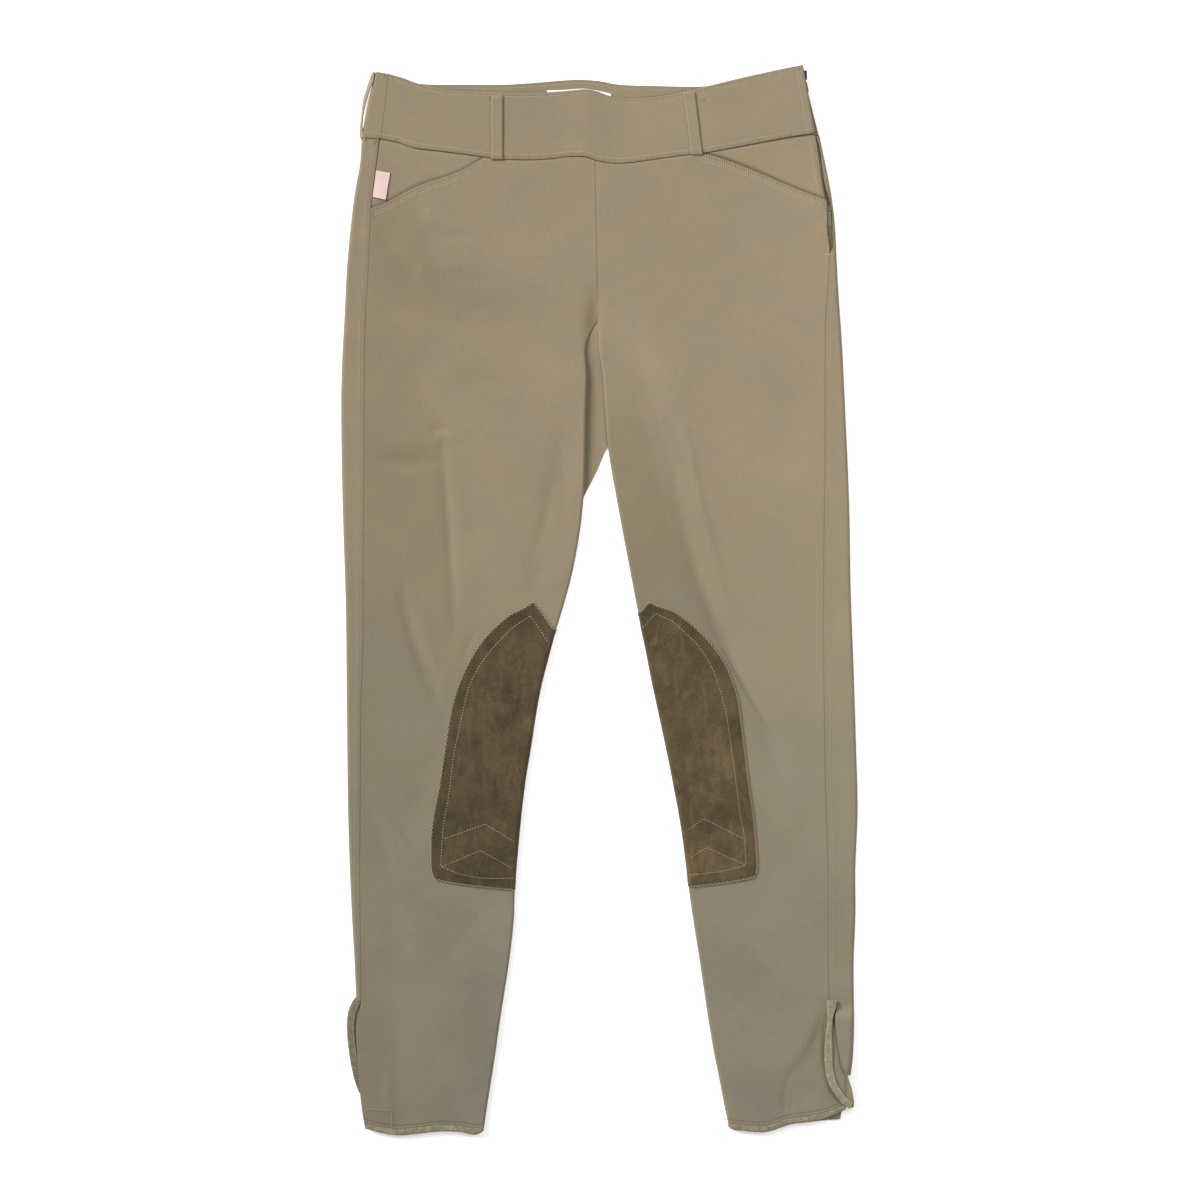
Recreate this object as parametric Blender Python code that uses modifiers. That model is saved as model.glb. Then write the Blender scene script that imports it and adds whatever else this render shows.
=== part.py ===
"""Riding breeches lying flat with the front up, built as the pieces they are sewn from.

Tables and lengths are in millimetres, and MM turns them into metres when a mesh is made.
+X is the wearer's left, +Y points to the waist and z = 0 is the surface the breeches lie on.
The back panels lie on that surface, roll up over the outer edge of each leg and end at the
outseam on top. The front panels lie above them and turn down at the inseam.
"""

import math

import bmesh
import bpy
import numpy as np

MM = 0.001

# Walls and clearances
CLOTH = 1.3
CLOTH_MAX = 3.0
BAND = 2.2
FACING = 1.0
FLAP = 1.0
SUEDE = 1.1
BINDING = 0.8
LOOP = 1.6
BACK_LOOP = 1.1
SIDE_LOOP_WALL = 0.9
LABEL = 0.4
TAPE = 0.5
SEAM = 0.3
BINDING_ROOM = 0.4
LAY = 0.5
EDGE_GAP = 0.7

# Heights above the surface that carries the breeches
LEG_TOP = 6.5
HIP_TOP = 6.9
HIP_FROM, HIP_TO = 60.0, 330.0
ROOM_TOP = 5.2
BAND_TOP = 7.6
BAND_UNDER = 1.5
PATCH_UNDER = SUEDE + LAY
HEM_UNDER = BINDING + BINDING_ROOM
FLAP_ROOM = 3.2

# Widths
INSEAM_RADIUS = 2.5
BINDING_WIDTH = 6.0
BACK_PATCH_WIDTH = 45.0
FLAP_WIDTH = 15.0
LOOP_WIDTH = 11.4

# Zip
SLIDER_SIZE = (3.6, 7.4, 2.1)
SLIDER_CENTRE = (217.9, 372.3, 3.25)
BRIDGE_WIDTH = 1.0
BRIDGE_WALL = 0.65
BRIDGE_ROOM = 0.8
PIVOT = (217.9, 371.2, 5.0)
PULL_LENGTH = 16.0
PULL_WIDTH = 3.2
PULL_THICKNESS = 0.8
EYE_WIDTH = 1.7
EYE_FROM, EYE_TO = 0.4, 2.5
CHAIN_WIDTH = 3.2
CHAIN_THICKNESS = 1.5
CHAIN_TOP = 4.0
TAPE_TOP = 3.5
TAPE_WIDTH = 9.0

# One row for each section of a front leg panel. A section crosses the panel from the outseam,
# over the line that the knee patch's outer edge follows, to the inseam edge. "turn" says how
# far the inner edge is turned down: 0 at the centre-front seam, 1 along the leg.
SECTION_COLUMNS = ("side_y", "patch_y", "inner_y", "side_x", "patch_x", "inner_x", "turn", "patch")
RIGHT_SECTIONS = (
    (372.4, 419.9, 417.5, -217.5, -96.9, -5.1, 0, 0),
    (351.5, 380.0, 378.1, -218.5, -96.9, -4.2, 0, 0),
    (321.1, 332.5, 330.6, -219.6, -96.9, -3.2, 0, 0),
    (292.6, 296.4, 294.5, -221.2, -95.9, -2.6, 0, 0),
    (266.0, 266.0, 267.9, -222.8, -95.0, -2.4, 0, 0),
    (242.2, 242.2, 242.2, -223.2, -91.2, -13.0, 1, 0),
    (213.8, 213.8, 213.8, -223.4, -88.3, -12.3, 1, 0),
    (180.5, 180.5, 180.5, -223.7, -84.5, -13.3, 1, 0),
    (145.3, 145.3, 145.3, -223.8, -80.8, -13.9, 1, 0),
    (118.8, 118.8, 118.8, -224.0, -77.0, -14.6, 1, 0),
    (97.8, 97.8, 97.8, -224.2, -74.1, -15.6, 1, 0),
    (66.5, 66.5, 62.7, -224.5, -69.3, -19.5, 1, 0),
    (33.2, 33.2, 19.0, -224.7, -65.5, -28.0, 1, 0),
    (1.9, 0.0, -27.5, -224.8, -64.2, -41.3, 1, 1),
    (-23.8, -16.1, -42.8, -224.9, -88.3, -45.6, 1, 1),
    (-49.4, -38.0, -60.8, -225.1, -111.1, -50.3, 1, 1),
    (-76.0, -68.4, -81.7, -226.1, -129.2, -55.6, 1, 1),
    (-104.5, -99.8, -106.4, -227.0, -140.1, -60.3, 1, 1),
    (-137.8, -137.8, -137.8, -227.3, -146.8, -65.1, 1, 1),
    (-175.8, -175.8, -175.8, -227.5, -152.5, -71.2, 1, 1),
    (-218.5, -218.5, -218.5, -227.8, -160.1, -76.0, 1, 1),
    (-260.3, -262.2, -275.5, -228.0, -160.5, -80.8, 1, 1),
    (-299.2, -299.2, -304.0, -227.7, -160.5, -81.9, 1, 0),
    (-340.1, -340.1, -340.1, -227.3, -161.5, -85.9, 1, 0),
    (-380.9, -380.9, -380.9, -227.0, -162.4, -92.1, 1, 0),
    (-405.6, -405.6, -405.6, -231.8, -163.4, -95.9, 1, 0),
    (-430.3, -430.3, -430.3, -230.7, -164.3, -99.3, 1, 0),
    (-456.0, -456.0, -456.0, -229.2, -165.3, -103.3, 1, 0),
    (-478.8, -478.8, -478.8, -226.7, -166.2, -106.9, 1, 0),
    (-494.5, -497.4, -495.5, -224.6, -166.2, -109.4, 1, 0),
    (-502.5, -505.4, -503.5, -222.8, -166.2, -110.7, 1, 0),
)
LEFT_SECTIONS = (
    (380.5, 421.8, 416.1, 214.4, 95.0, -4.6, 0, 0),
    (371.2, 404.0, 400.0, 215.7, 94.3, -4.3, 0, 0),
    (351.5, 380.0, 377.1, 215.7, 93.1, -3.7, 0, 0),
    (329.6, 332.5, 330.6, 218.1, 91.2, -2.7, 0, 0),
    (296.4, 296.4, 294.5, 216.4, 88.3, -2.1, 0, 0),
    (266.0, 266.0, 267.9, 214.2, 85.5, -1.9, 0, 0),
    (242.2, 242.2, 242.2, 213.9, 83.6, -1.3, 1, 0),
    (213.8, 213.8, 213.8, 213.8, 81.7, 2.4, 1, 0),
    (180.5, 180.5, 180.5, 213.8, 79.8, 4.9, 1, 0),
    (145.3, 145.3, 145.3, 213.8, 77.0, 7.6, 1, 0),
    (118.8, 118.8, 118.8, 213.8, 74.1, 11.7, 1, 0),
    (97.8, 97.8, 97.8, 213.3, 70.3, 15.5, 1, 0),
    (66.5, 66.5, 66.5, 212.8, 62.7, 21.2, 1, 0),
    (33.2, 33.2, 28.5, 212.5, 53.2, 28.5, 1, 0),
    (1.9, 0.0, -11.0, 212.3, 47.5, 35.9, 1, 1),
    (-20.9, -11.4, -26.6, 212.3, 71.2, 38.7, 1, 1),
    (-47.5, -30.4, -45.6, 212.4, 95.0, 42.8, 1, 1),
    (-76.0, -57.0, -72.2, 212.6, 116.8, 48.0, 1, 1),
    (-106.4, -90.2, -100.7, 213.0, 130.2, 54.0, 1, 1),
    (-137.8, -133.0, -137.8, 213.5, 136.5, 62.0, 1, 1),
    (-175.8, -175.8, -175.8, 214.2, 141.7, 69.6, 1, 1),
    (-218.5, -218.5, -218.5, 215.6, 147.4, 77.2, 1, 1),
    (-258.4, -260.3, -272.6, 216.6, 149.9, 84.1, 1, 1),
    (-299.2, -299.2, -304.0, 216.6, 150.1, 88.6, 1, 0),
    (-340.1, -340.1, -340.1, 216.6, 150.1, 94.3, 1, 0),
    (-380.9, -380.9, -380.9, 218.0, 150.1, 100.3, 1, 0),
    (-384.8, -384.8, -384.8, 219.5, 150.4, 100.8, 1, 0),
    (-398.0, -398.0, -398.0, 225.5, 152.6, 102.9, 1, 0),
    (-410.0, -410.0, -410.0, 228.6, 154.3, 104.8, 1, 0),
    (-430.3, -430.3, -430.3, 230.8, 155.8, 108.3, 1, 0),
    (-451.0, -451.0, -451.0, 232.5, 156.6, 112.5, 1, 0),
    (-470.0, -474.0, -474.0, 233.5, 159.0, 117.0, 1, 0),
    (-478.0, -491.5, -493.6, 234.4, 168.1, 120.8, 1, 0),
    (-484.0, -499.7, -501.6, 233.5, 169.1, 122.2, 1, 0),
)
SLIT_Y = -380.9

# Outer edge of each leg, where the back panel rolls over: y, x
RIGHT_FOLD = (
    (437.0, -226.6), (413.2, -228.4), (392.3, -232.3), (351.5, -237.5), (321.1, -240.3),
    (266.0, -243.2), (213.8, -245.8), (145.3, -245.9), (66.5, -244.1), (1.9, -242.0),
    (-104.5, -240.8), (-218.5, -239.2), (-299.2, -236.0), (-340.1, -233.7), (-380.9, -231.8),
)
LEFT_FOLD = (
    (438.9, 207.9), (425.6, 211.8), (394.2, 218.4), (374.3, 222.4), (351.5, 224.8),
    (329.6, 225.9), (296.4, 227.0), (242.2, 230.2), (180.5, 233.2), (97.8, 236.8),
    (1.9, 238.7), (-61.8, 241.1), (-137.8, 243.5), (-200.0, 245.0), (-258.4, 242.8),
    (-299.2, 242.9), (-340.1, 241.3), (-418.0, 241.2), (-437.0, 240.1), (-455.0, 237.5),
)
# Edge of the back panels below the slits, where they don't roll over: y, x
RIGHT_LOW_EDGE = ((-380.9, -232.6), (-405.6, -232.4), (-430.3, -230.4), (-456.0, -225.6),
                  (-478.8, -218.8), (-494.5, -219.6), (-502.5, -220.2))
LEFT_LOW_EDGE = ((-451.0, 232.0), (-470.0, 231.0), (-485.0, 228.4), (-492.0, 226.8))
# Edge of the left back panel where it doesn't meet the front one: beside the zip and the slit
LEFT_ZIP_EDGE = (
    (438.9, 205.5), (432.2, 208.4), (413.2, 211.4), (389.5, 215.7), (371.4, 220.4),
    (351.5, 221.7), (340.0, 220.9), (329.6, 218.4),
)
LEFT_SLIT_EDGE = ((-384.8, 225.1), (-398.0, 223.1), (-410.0, 224.0), (-430.3, 226.9), (-444.0, 229.8),
                  (-451.0, 233.6))
# Centre-back seam and the crotch edge that reaches under the left leg: y, x of the right panel
CROTCH = (
    (440.0, -2.3), (256.5, -2.4), (213.8, 0.0), (180.5, 3.8), (145.3, 7.6), (133.0, 1.9),
    (122.5, -1.9), (112.1, -7.6), (104.5, -12.3), (97.8, -15.6),
)

# Waistband stations: lower edge x, y, upper edge x, y, and how far the band stands up there
BAND_FRONT = (
    (-208.0, 437.9, -200.4, 499.7, 0.0), (-191.9, 434.6, -187.1, 495.9, 0.0),
    (-176.7, 429.4, -171.0, 490.2, 0.0), (-149.2, 426.1, -144.4, 484.5, 0.2),
    (-123.5, 422.6, -120.6, 480.2, 0.2), (-95.0, 418.9, -93.1, 477.8, 0.0),
    (-66.5, 418.0, -65.5, 477.8, -0.2), (-45.6, 419.1, -44.6, 479.0, -0.1),
    (-26.6, 421.3, -26.6, 481.6, 0.6), (-13.3, 420.8, -13.3, 484.5, 1.1),
    (-1.9, 417.0, -1.9, 482.1, 0.6), (10.4, 414.9, 10.4, 476.9, -0.1),
    (26.6, 415.1, 26.6, 476.4, -0.3), (52.2, 418.7, 50.3, 477.6, 0.0),
    (77.9, 422.1, 75.0, 481.8, 0.2), (104.5, 425.4, 99.8, 487.6, 0.2),
    (137.8, 431.7, 131.1, 495.2, 0.3), (175.8, 438.9, 166.2, 502.9, 0.8),
    (204.2, 443.2, 192.8, 508.2, 1.3),
)
BAND_BACK = (
    (201.4, 440.3, 190.5, 504.9), (175.8, 436.0, 166.2, 499.2), (137.8, 430.3, 131.1, 493.5),
    (104.5, 427.5, 99.8, 488.6), (52.2, 427.5, 50.3, 489.0), (19.0, 429.4, 19.0, 490.2),
    (-1.9, 430.3, -0.9, 493.6), (-19.0, 431.3, -19.5, 494.9), (-38.0, 430.3, -38.0, 494.0),
    (-66.5, 428.4, -65.5, 491.7), (-95.0, 427.5, -95.0, 490.2), (-152.0, 430.3, -152.0, 490.2),
    (-171.0, 432.2, -171.0, 491.1), (-190.0, 434.1, -190.0, 494.0), (-209.0, 436.5, -201.4, 496.8),
)
BAND_FOLD = (-225.2, 438.9, -213.9, 501.6)
BAND_SIDE_SEAM = (-208.4, 437.9, -200.8, 499.7)

# Pocket openings and hems: x, y. A hem's line is the outside of its binding.
RIGHT_POCKET = ((-217.5, 372.4), (-204.2, 377.1), (-190.0, 384.8), (-171.0, 394.2), (-142.5, 403.8),
                (-131.1, 408.5), (-111.1, 419.9))
LEFT_POCKET = ((108.3, 422.0), (123.5, 418.0), (152.0, 405.6), (190.0, 389.5), (214.4, 380.5))
RIGHT_HEM = ((-221.3, -502.9), (-208.0, -506.3), (-194.8, -508.6), (-173.8, -507.3), (-153.4, -505.0),
             (-133.0, -505.4), (-114.9, -507.1), (-110.2, -504.4))
LEFT_HEM = ((121.6, -500.5), (126.3, -503.4), (133.0, -504.1), (165.3, -503.6), (170.0, -501.8),
            (180.5, -498.4), (203.3, -495.3), (214.0, -492.6), (226.0, -488.0), (234.0, -483.5))
LEFT_BACK_HEM = ((121.6, -500.5), (126.3, -503.4), (133.0, -504.1), (165.3, -503.6), (180.5, -498.6),
                 (203.3, -496.0), (218.5, -494.6), (228.5, -493.9))
# Front edge of the side opening: y, x
PLACKET = ((443.1, 204.4), (421.8, 207.8), (397.8, 210.7), (380.5, 214.4))

# Ankle flaps: bound edge and hidden edge, y, x
RIGHT_FLAP = ((-382.5, -235.4), (-388.0, -238.2), (-397.6, -240.2), (-412.3, -240.3), (-424.2, -239.2),
              (-446.5, -235.6), (-460.8, -231.8), (-468.0, -229.0))
LEFT_FLAP = ((-379.9, 215.3), (-394.0, 215.8), (-405.7, 215.8), (-413.0, 214.5), (-421.9, 213.8),
             (-442.8, 213.8), (-452.0, 215.3), (-459.4, 217.6), (-466.6, 221.6), (-473.0, 226.2),
             (-478.5, 231.6), (-481.6, 236.2))
LEFT_FLAP_HIDDEN = ((-379.9, 224.4), (-394.0, 222.6), (-401.0, 222.5), (-405.0, 226.5), (-410.0, 231.5),
                    (-437.0, 233.0), (-449.0, 234.2), (-455.8, 236.4), (-464.0, 239.0), (-471.2, 240.4),
                    (-477.0, 241.1), (-481.6, 240.4))
LEFT_BINDING_REACH = ((-379.9, 8.2), (-386.0, 7.6), (-393.0, 5.0), (-400.0, 3.6), (-406.0, 3.6),
                      (-420.0, 5.4), (-481.6, 5.6))

# Edges of the zip's two tapes: y, x
ZIP_FRONT_EDGE = ((434.0, 206.3), (418.0, 209.1), (397.8, 211.9), (384.0, 214.6), (376.6, 215.5),
                  (368.0, 215.5), (366.6, 216.3), (331.0, 217.3))
ZIP_BACK_EDGE = ((414.0, 210.5), (397.8, 212.9), (384.0, 216.0), (376.8, 219.95),
                 (368.0, 219.95), (366.6, 220.4), (331.0, 221.3))

# Belt loop at the right side, seen on edge: y, x of its lower edge, and how far its upper edge
# lies inwards
SIDE_LOOP = ((502.2, -218.3, 4.75), (495.0, -220.6, 4.3), (483.6, -223.4, 3.6), (465.5, -227.1, 3.2),
             (450.9, -228.8, 3.2), (443.6, -229.6, 4.0), (437.6, -229.6, 4.75))
SIDE_LOOP_LOW, SIDE_LOOP_HIGH = 2.5, 8.0

# Folds of the front cloth: start, middle, end (x, y each), half width and height
FOLDS = (
    ("hip_drag", -210.9, 359.1, -191.9, 330.6, -171.0, 299.2, 11, -0.8),
    ("hip_hollow_right", -172.9, 308.8, -128.2, 286.9, -71.2, 256.5, 25, -0.9),
    ("thigh_ridge_right", -180.5, 264.1, -114.0, 235.6, -69.3, 195.7, 15, 0.8),
    ("thigh_hollow", -142.5, 195.7, -106.4, 203.3, -74.1, 185.2, 13, -0.7),
    ("side_crease", -212.8, 134.9, -180.5, 133.0, -152.0, 152.0, 11, -0.9),
    ("knee_crease", -151.0, 154.8, -147.2, 76.0, -140.6, -9.5, 11, -1.0),
    ("inner_thigh", -28.5, 175.8, -41.8, 104.5, -60.8, 9.5, 13, -0.8),
    ("calf_crease", -180.5, -38.0, -161.5, -71.2, -149.2, -109.2, 11, -0.9),
    ("calf_lower", -180.5, -183.3, -168.2, -197.6, -157.7, -215.6, 11, -0.7),
    ("long_calf", -223.2, -194.8, -199.5, -261.2, -172.9, -342.0, 12, -0.7),
    ("below_patch", -163.4, -283.1, -152.0, -298.3, -134.9, -309.7, 14, -0.6),
    ("shin_ridge", -190.0, -330.0, -180.0, -400.0, -175.0, -470.0, 18, 0.4),
    ("thigh_trough", 20.9, 256.5, 64.6, 123.5, 100.7, -11.4, 16, -1.1),
    ("beside_patch", 100.7, -11.4, 131.1, -68.4, 164.3, -134.9, 12, -1.1),
    ("lower_crease", 142.5, -182.4, 156.8, -201.4, 171.0, -224.2, 11, -0.7),
    ("thigh_ridge_left", 38.0, 285.0, 85.5, 161.5, 128.2, 9.5, 17, 0.7),
    ("hip_hollow_left", 71.2, 346.8, 118.8, 321.1, 171.0, 275.5, 27, -0.8),
    ("ankle_crease", 216.6, -380.9, 201.4, -432.2, 173.8, -484.5, 11, -1.0),
    ("ankle_ridge", 204.2, -380.0, 187.1, -427.5, 161.5, -475.0, 12, 0.6),
    ("slit_hollow", 224.0, -392.0, 228.0, -425.0, 229.0, -458.0, 17, -1.4),
    ("belly", -10.0, 380.0, 10.0, 330.0, 0.0, 290.0, 90, 0.7),
)
FOLD_STEPS = 13

SIDE_CELLS = 6
PATCH_CELLS = 5
LONG_SECTION = 34.0


# ---------------------------------------------------------------- curves and surfaces

def smooth(table, at):
    """Carry every column of a table over its first column with a smooth curve through its rows."""
    table = np.asarray(table, float)
    if table[0, 0] > table[-1, 0]:
        table = table[::-1]
    key = table[:, 0]
    slope = np.gradient(table, key, axis=0)
    at = np.clip(np.asarray(at, float), key[0], key[-1])
    low = np.clip(np.searchsorted(key, at, side="right") - 1, 0, len(key) - 2)
    span = key[low + 1] - key[low]
    t = ((at - key[low]) / span)[..., None]
    span = span[..., None]
    start, end = table[low], table[low + 1]
    value = ((2 * t**3 - 3 * t**2 + 1) * start + (t**3 - 2 * t**2 + t) * span * slope[low]
             + (3 * t**2 - 2 * t**3) * end + (t**3 - t**2) * span * slope[low + 1])
    return value[..., 1:]


def line_through(table, at):
    """One value for each place along a table of two columns."""
    return smooth(table, at)[..., 0]


def ease(value, start, end):
    """0 before start, 1 after end, and an S-shaped way between."""
    t = np.clip((np.asarray(value, float) - start) / (end - start), 0, 1)
    return t * t * (3 - 2 * t)


def fold_height(x, y, fold):
    """Bell-shaped ridge or trough along a bent line, lower towards its two ends."""
    x0, y0, x1, y1, x2, y2, width, height = fold[1:]
    t = np.linspace(0, 1, FOLD_STEPS)
    middle_x = 2 * x1 - (x0 + x2) / 2
    middle_y = 2 * y1 - (y0 + y2) / 2
    line_x = (1 - t)**2 * x0 + 2 * t * (1 - t) * middle_x + t**2 * x2
    line_y = (1 - t)**2 * y0 + 2 * t * (1 - t) * middle_y + t**2 * y2
    step_x, step_y = np.diff(line_x), np.diff(line_y)
    away_x = x[..., None] - line_x[:-1]
    away_y = y[..., None] - line_y[:-1]
    part = np.clip((away_x * step_x + away_y * step_y) / (step_x**2 + step_y**2), 0, 1)
    distance = np.hypot(away_x - part * step_x, away_y - part * step_y)
    nearest = distance.argmin(axis=-1)
    along = (nearest + np.take_along_axis(part, nearest[..., None], -1)[..., 0]) / (FOLD_STEPS - 1)
    return height * (0.35 + 0.65 * np.sin(np.pi * along)) * np.exp(-(distance.min(axis=-1) / width)**2)


def cloth_top(x, y):
    """Height of the front cloth: legs, the fuller hips, and every fold."""
    x, y = np.broadcast_arrays(np.asarray(x, float), np.asarray(y, float))
    height = LEG_TOP + (HIP_TOP - LEG_TOP) * ease(y, HIP_FROM, HIP_TO)
    for fold in FOLDS:
        height = height + fold_height(x, y, fold)
    return height


def cloth_under(x, y):
    """Height of the front cloth's inner face, which stays below the room's top."""
    return np.minimum(cloth_top(x, y) - CLOTH, ROOM_TOP)


def points(x, y, z):
    return np.stack(np.broadcast_arrays(x, y, z), axis=-1).astype(float)


def normals(grid, flip):
    """Unit normal at each point of a grid, on the side its faces look to."""
    along = np.gradient(grid, axis=0)
    across = np.gradient(grid, axis=1)
    normal = np.cross(across, along)
    if flip:
        normal = -normal
    return normal / np.linalg.norm(normal, axis=-1, keepdims=True)


# ---------------------------------------------------------------- objects

def new_collection(name):
    collection = bpy.data.collections.new(name)
    bpy.context.scene.collection.children.link(collection)
    return collection


def new_material(name, color, roughness, metallic=0.0):
    material = bpy.data.materials.new(name)
    material.use_nodes = True
    shader = material.node_tree.nodes["Principled BSDF"]
    shader.inputs["Base Color"].default_value = (*color, 1.0)
    shader.inputs["Roughness"].default_value = roughness
    shader.inputs["Metallic"].default_value = metallic
    return material


def add_object(name, data, material, collection):
    item = bpy.data.objects.new(name, data)
    item.data.materials.append(material)
    collection.objects.link(item)
    return item


def sheet(name, grid, wall, material, flip=False, keep=None):
    """Cloth wall: a grid of points in millimetres as its outer face, with Solidify inwards.

    wall is one thickness or one for each point; keep leaves out the cells where it is False.
    """
    rows, columns = grid.shape[:2]
    index = np.arange(rows * columns).reshape(rows, columns)
    cells = np.stack((index[:-1, :-1], index[:-1, 1:], index[1:, 1:], index[1:, :-1]), axis=-1)
    if keep is not None:
        cells = cells[keep]
    cells = cells.reshape(-1, 4)
    if flip:
        cells = cells[:, ::-1]
    used, cells = np.unique(cells, return_inverse=True)
    mesh = bpy.data.meshes.new(name)
    mesh.from_pydata((grid.reshape(-1, 3)[used] * MM).tolist(), [], cells.reshape(-1, 4).tolist())
    item = add_object(name, mesh, material, PARTS)
    walls = np.broadcast_to(wall, (rows, columns)).reshape(-1)[used]
    solidify = item.modifiers.new("Wall", "SOLIDIFY")
    solidify.thickness = float(walls.max()) * MM
    solidify.offset = -1.0
    if walls.min() < walls.max():
        group = item.vertex_groups.new(name="wall")
        for vertex, thickness in enumerate(walls):
            group.add([vertex], float(thickness / walls.max()), "REPLACE")
        solidify.vertex_group = group.name
        solidify.thickness_vertex_group = 0.0
    return item


# ---------------------------------------------------------------- leg panels

def section_rows(side):
    """Sections of a leg as a dictionary of columns, with one more between two that lie far apart."""
    table = np.asarray(RIGHT_SECTIONS if side < 0 else LEFT_SECTIONS, float)
    place = [0.0]
    for number in range(1, len(table)):
        if table[number - 1, 0] - table[number, 0] > LONG_SECTION:
            place.append(number - 0.5)
        place.append(float(number))
    numbered = np.column_stack((np.arange(len(table)), table))
    values = smooth(numbered, np.array(place))
    rows = {name: values[:, column] for column, name in enumerate(SECTION_COLUMNS)}
    rows["section"] = np.array(place)
    rows["turn"] = np.clip(rows["turn"], 0, 1)
    rows["patch"] = rows["patch"] > 0.9
    rows["hem"] = rows["section"] > rows["section"][-1] - 1.1
    rows["inner_x"] = rows["inner_x"] + side * PATCH_UNDER * rows["patch"]
    rows["rise"] = np.maximum(PATCH_UNDER * rows["patch"], HEM_UNDER * rows["hem"])
    return rows


def band_edge(table, x):
    """Lower edge of the waistband at x."""
    return line_through([row[:2] for row in table], x)


def front_edge(side, x):
    """Upper edge of a front panel: the pocket opening, then the waistband seam."""
    seam = band_edge(BAND_FRONT, x) - EDGE_GAP
    pocket = RIGHT_POCKET if side < 0 else LEFT_POCKET
    inner = pocket[-1][0] if side < 0 else pocket[0][0]
    opening = line_through(pocket, x)
    return np.where(side * (x - inner) > 0, np.minimum(opening, seam), seam)


def front_panel(side):
    """Outer face of a front leg panel: rows from waist to hem, columns from outseam to inseam."""
    rows = section_rows(side)
    number = rows["section"][:, None]
    inner_x = rows["inner_x"]
    start_x = inner_x + side * INSEAM_RADIUS
    t = np.linspace(0, 1, SIDE_CELLS + 1)[None, :]
    side_x = rows["side_x"][:, None] * (1 - t) + rows["patch_x"][:, None] * t
    side_y = rows["side_y"][:, None] * (1 - t) + rows["patch_y"][:, None] * t
    t = np.linspace(0, 1, PATCH_CELLS + 1)[None, 1:]
    last_patch = number[rows["patch"]].max()
    bow = t ** (1 - 0.5 * np.exp(-(number - last_patch)**2))
    patch_x = rows["patch_x"][:, None] * (1 - t) + start_x[:, None] * t
    patch_y = rows["patch_y"][:, None] * (1 - bow) + rows["inner_y"][:, None] * bow
    x = np.concatenate((side_x, patch_x), axis=1)
    y = np.concatenate((side_y, patch_y), axis=1)
    hem_line = line_through(RIGHT_HEM if side < 0 else LEFT_HEM, x) + HEM_UNDER + 0.2
    waist = np.exp(-(number / 1.6)**2)
    hem = np.exp(-np.maximum((number[-2] - number) / 1.2, 0)**2)
    y = y + waist * (front_edge(side, x) - y[0]) + hem * (hem_line - y[-1])
    z = cloth_top(x, y)

    # The inner edge: flat at the centre-front seam, turned down over a small radius on the leg.
    turn = rows["turn"][:, None]
    edge_y = np.repeat(y[:, -1:], 3, axis=1)
    flat_x = inner_x[:, None] + side * INSEAM_RADIUS * np.array([[0.66, 0.33, 0.0]])
    edge_y = edge_y + waist * (front_edge(side, flat_x) - edge_y[0])
    flat_z = cloth_top(flat_x, edge_y)
    eighth = INSEAM_RADIUS * (1 - math.sin(math.pi / 4))
    low_x = inner_x[:, None] + side * np.array([[eighth, 0.0, 0.0]])
    upper_z = z[:, -1] - eighth
    low_z = CLOTH + SEAM + rows["rise"] + (BINDING + SEAM) * rows["hem"]
    low_z = np.stack((upper_z, (upper_z + low_z) / 2, low_z), axis=1)
    x = np.concatenate((x, flat_x * (1 - turn) + low_x * turn), axis=1)
    y = np.concatenate((y, edge_y), axis=1)
    z = np.concatenate((z, flat_z * (1 - turn) + low_z * turn), axis=1)
    return rows, points(x, y, z)


def back_rows(side):
    """Rows of the back panel: some above the front panel, then the front panel's own."""
    rows = section_rows(side)
    above = np.array((437.0, 415.0, 394.0) if side < 0 else (438.0, 424.0, 408.0, 392.0))
    y = np.concatenate((above, rows["side_y"]))
    hidden = np.zeros(len(above))
    seat = np.concatenate((above, rows["side_y"])) > CROTCH[-1][0] - 1.0
    inner_y = np.where(seat, y, np.concatenate((above, rows["inner_y"])))
    leg_x = np.concatenate((hidden, rows["inner_x"]))
    seat_x = np.interp(y, *np.asarray(CROTCH[::-1]).T)
    if side > 0:
        seat = y > 140.0
        seat_x = seat_x + LAY
    inner_x = np.where(seat, seat_x, leg_x)
    return {"y": y, "inner_y": inner_y, "inner_x": inner_x,
            "side_x": np.concatenate((hidden + rows["side_x"][0], rows["side_x"])),
            "patch": np.concatenate((hidden, rows["patch"])) > 0,
            "hem": np.concatenate((hidden, rows["hem"])) > 0}


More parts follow.
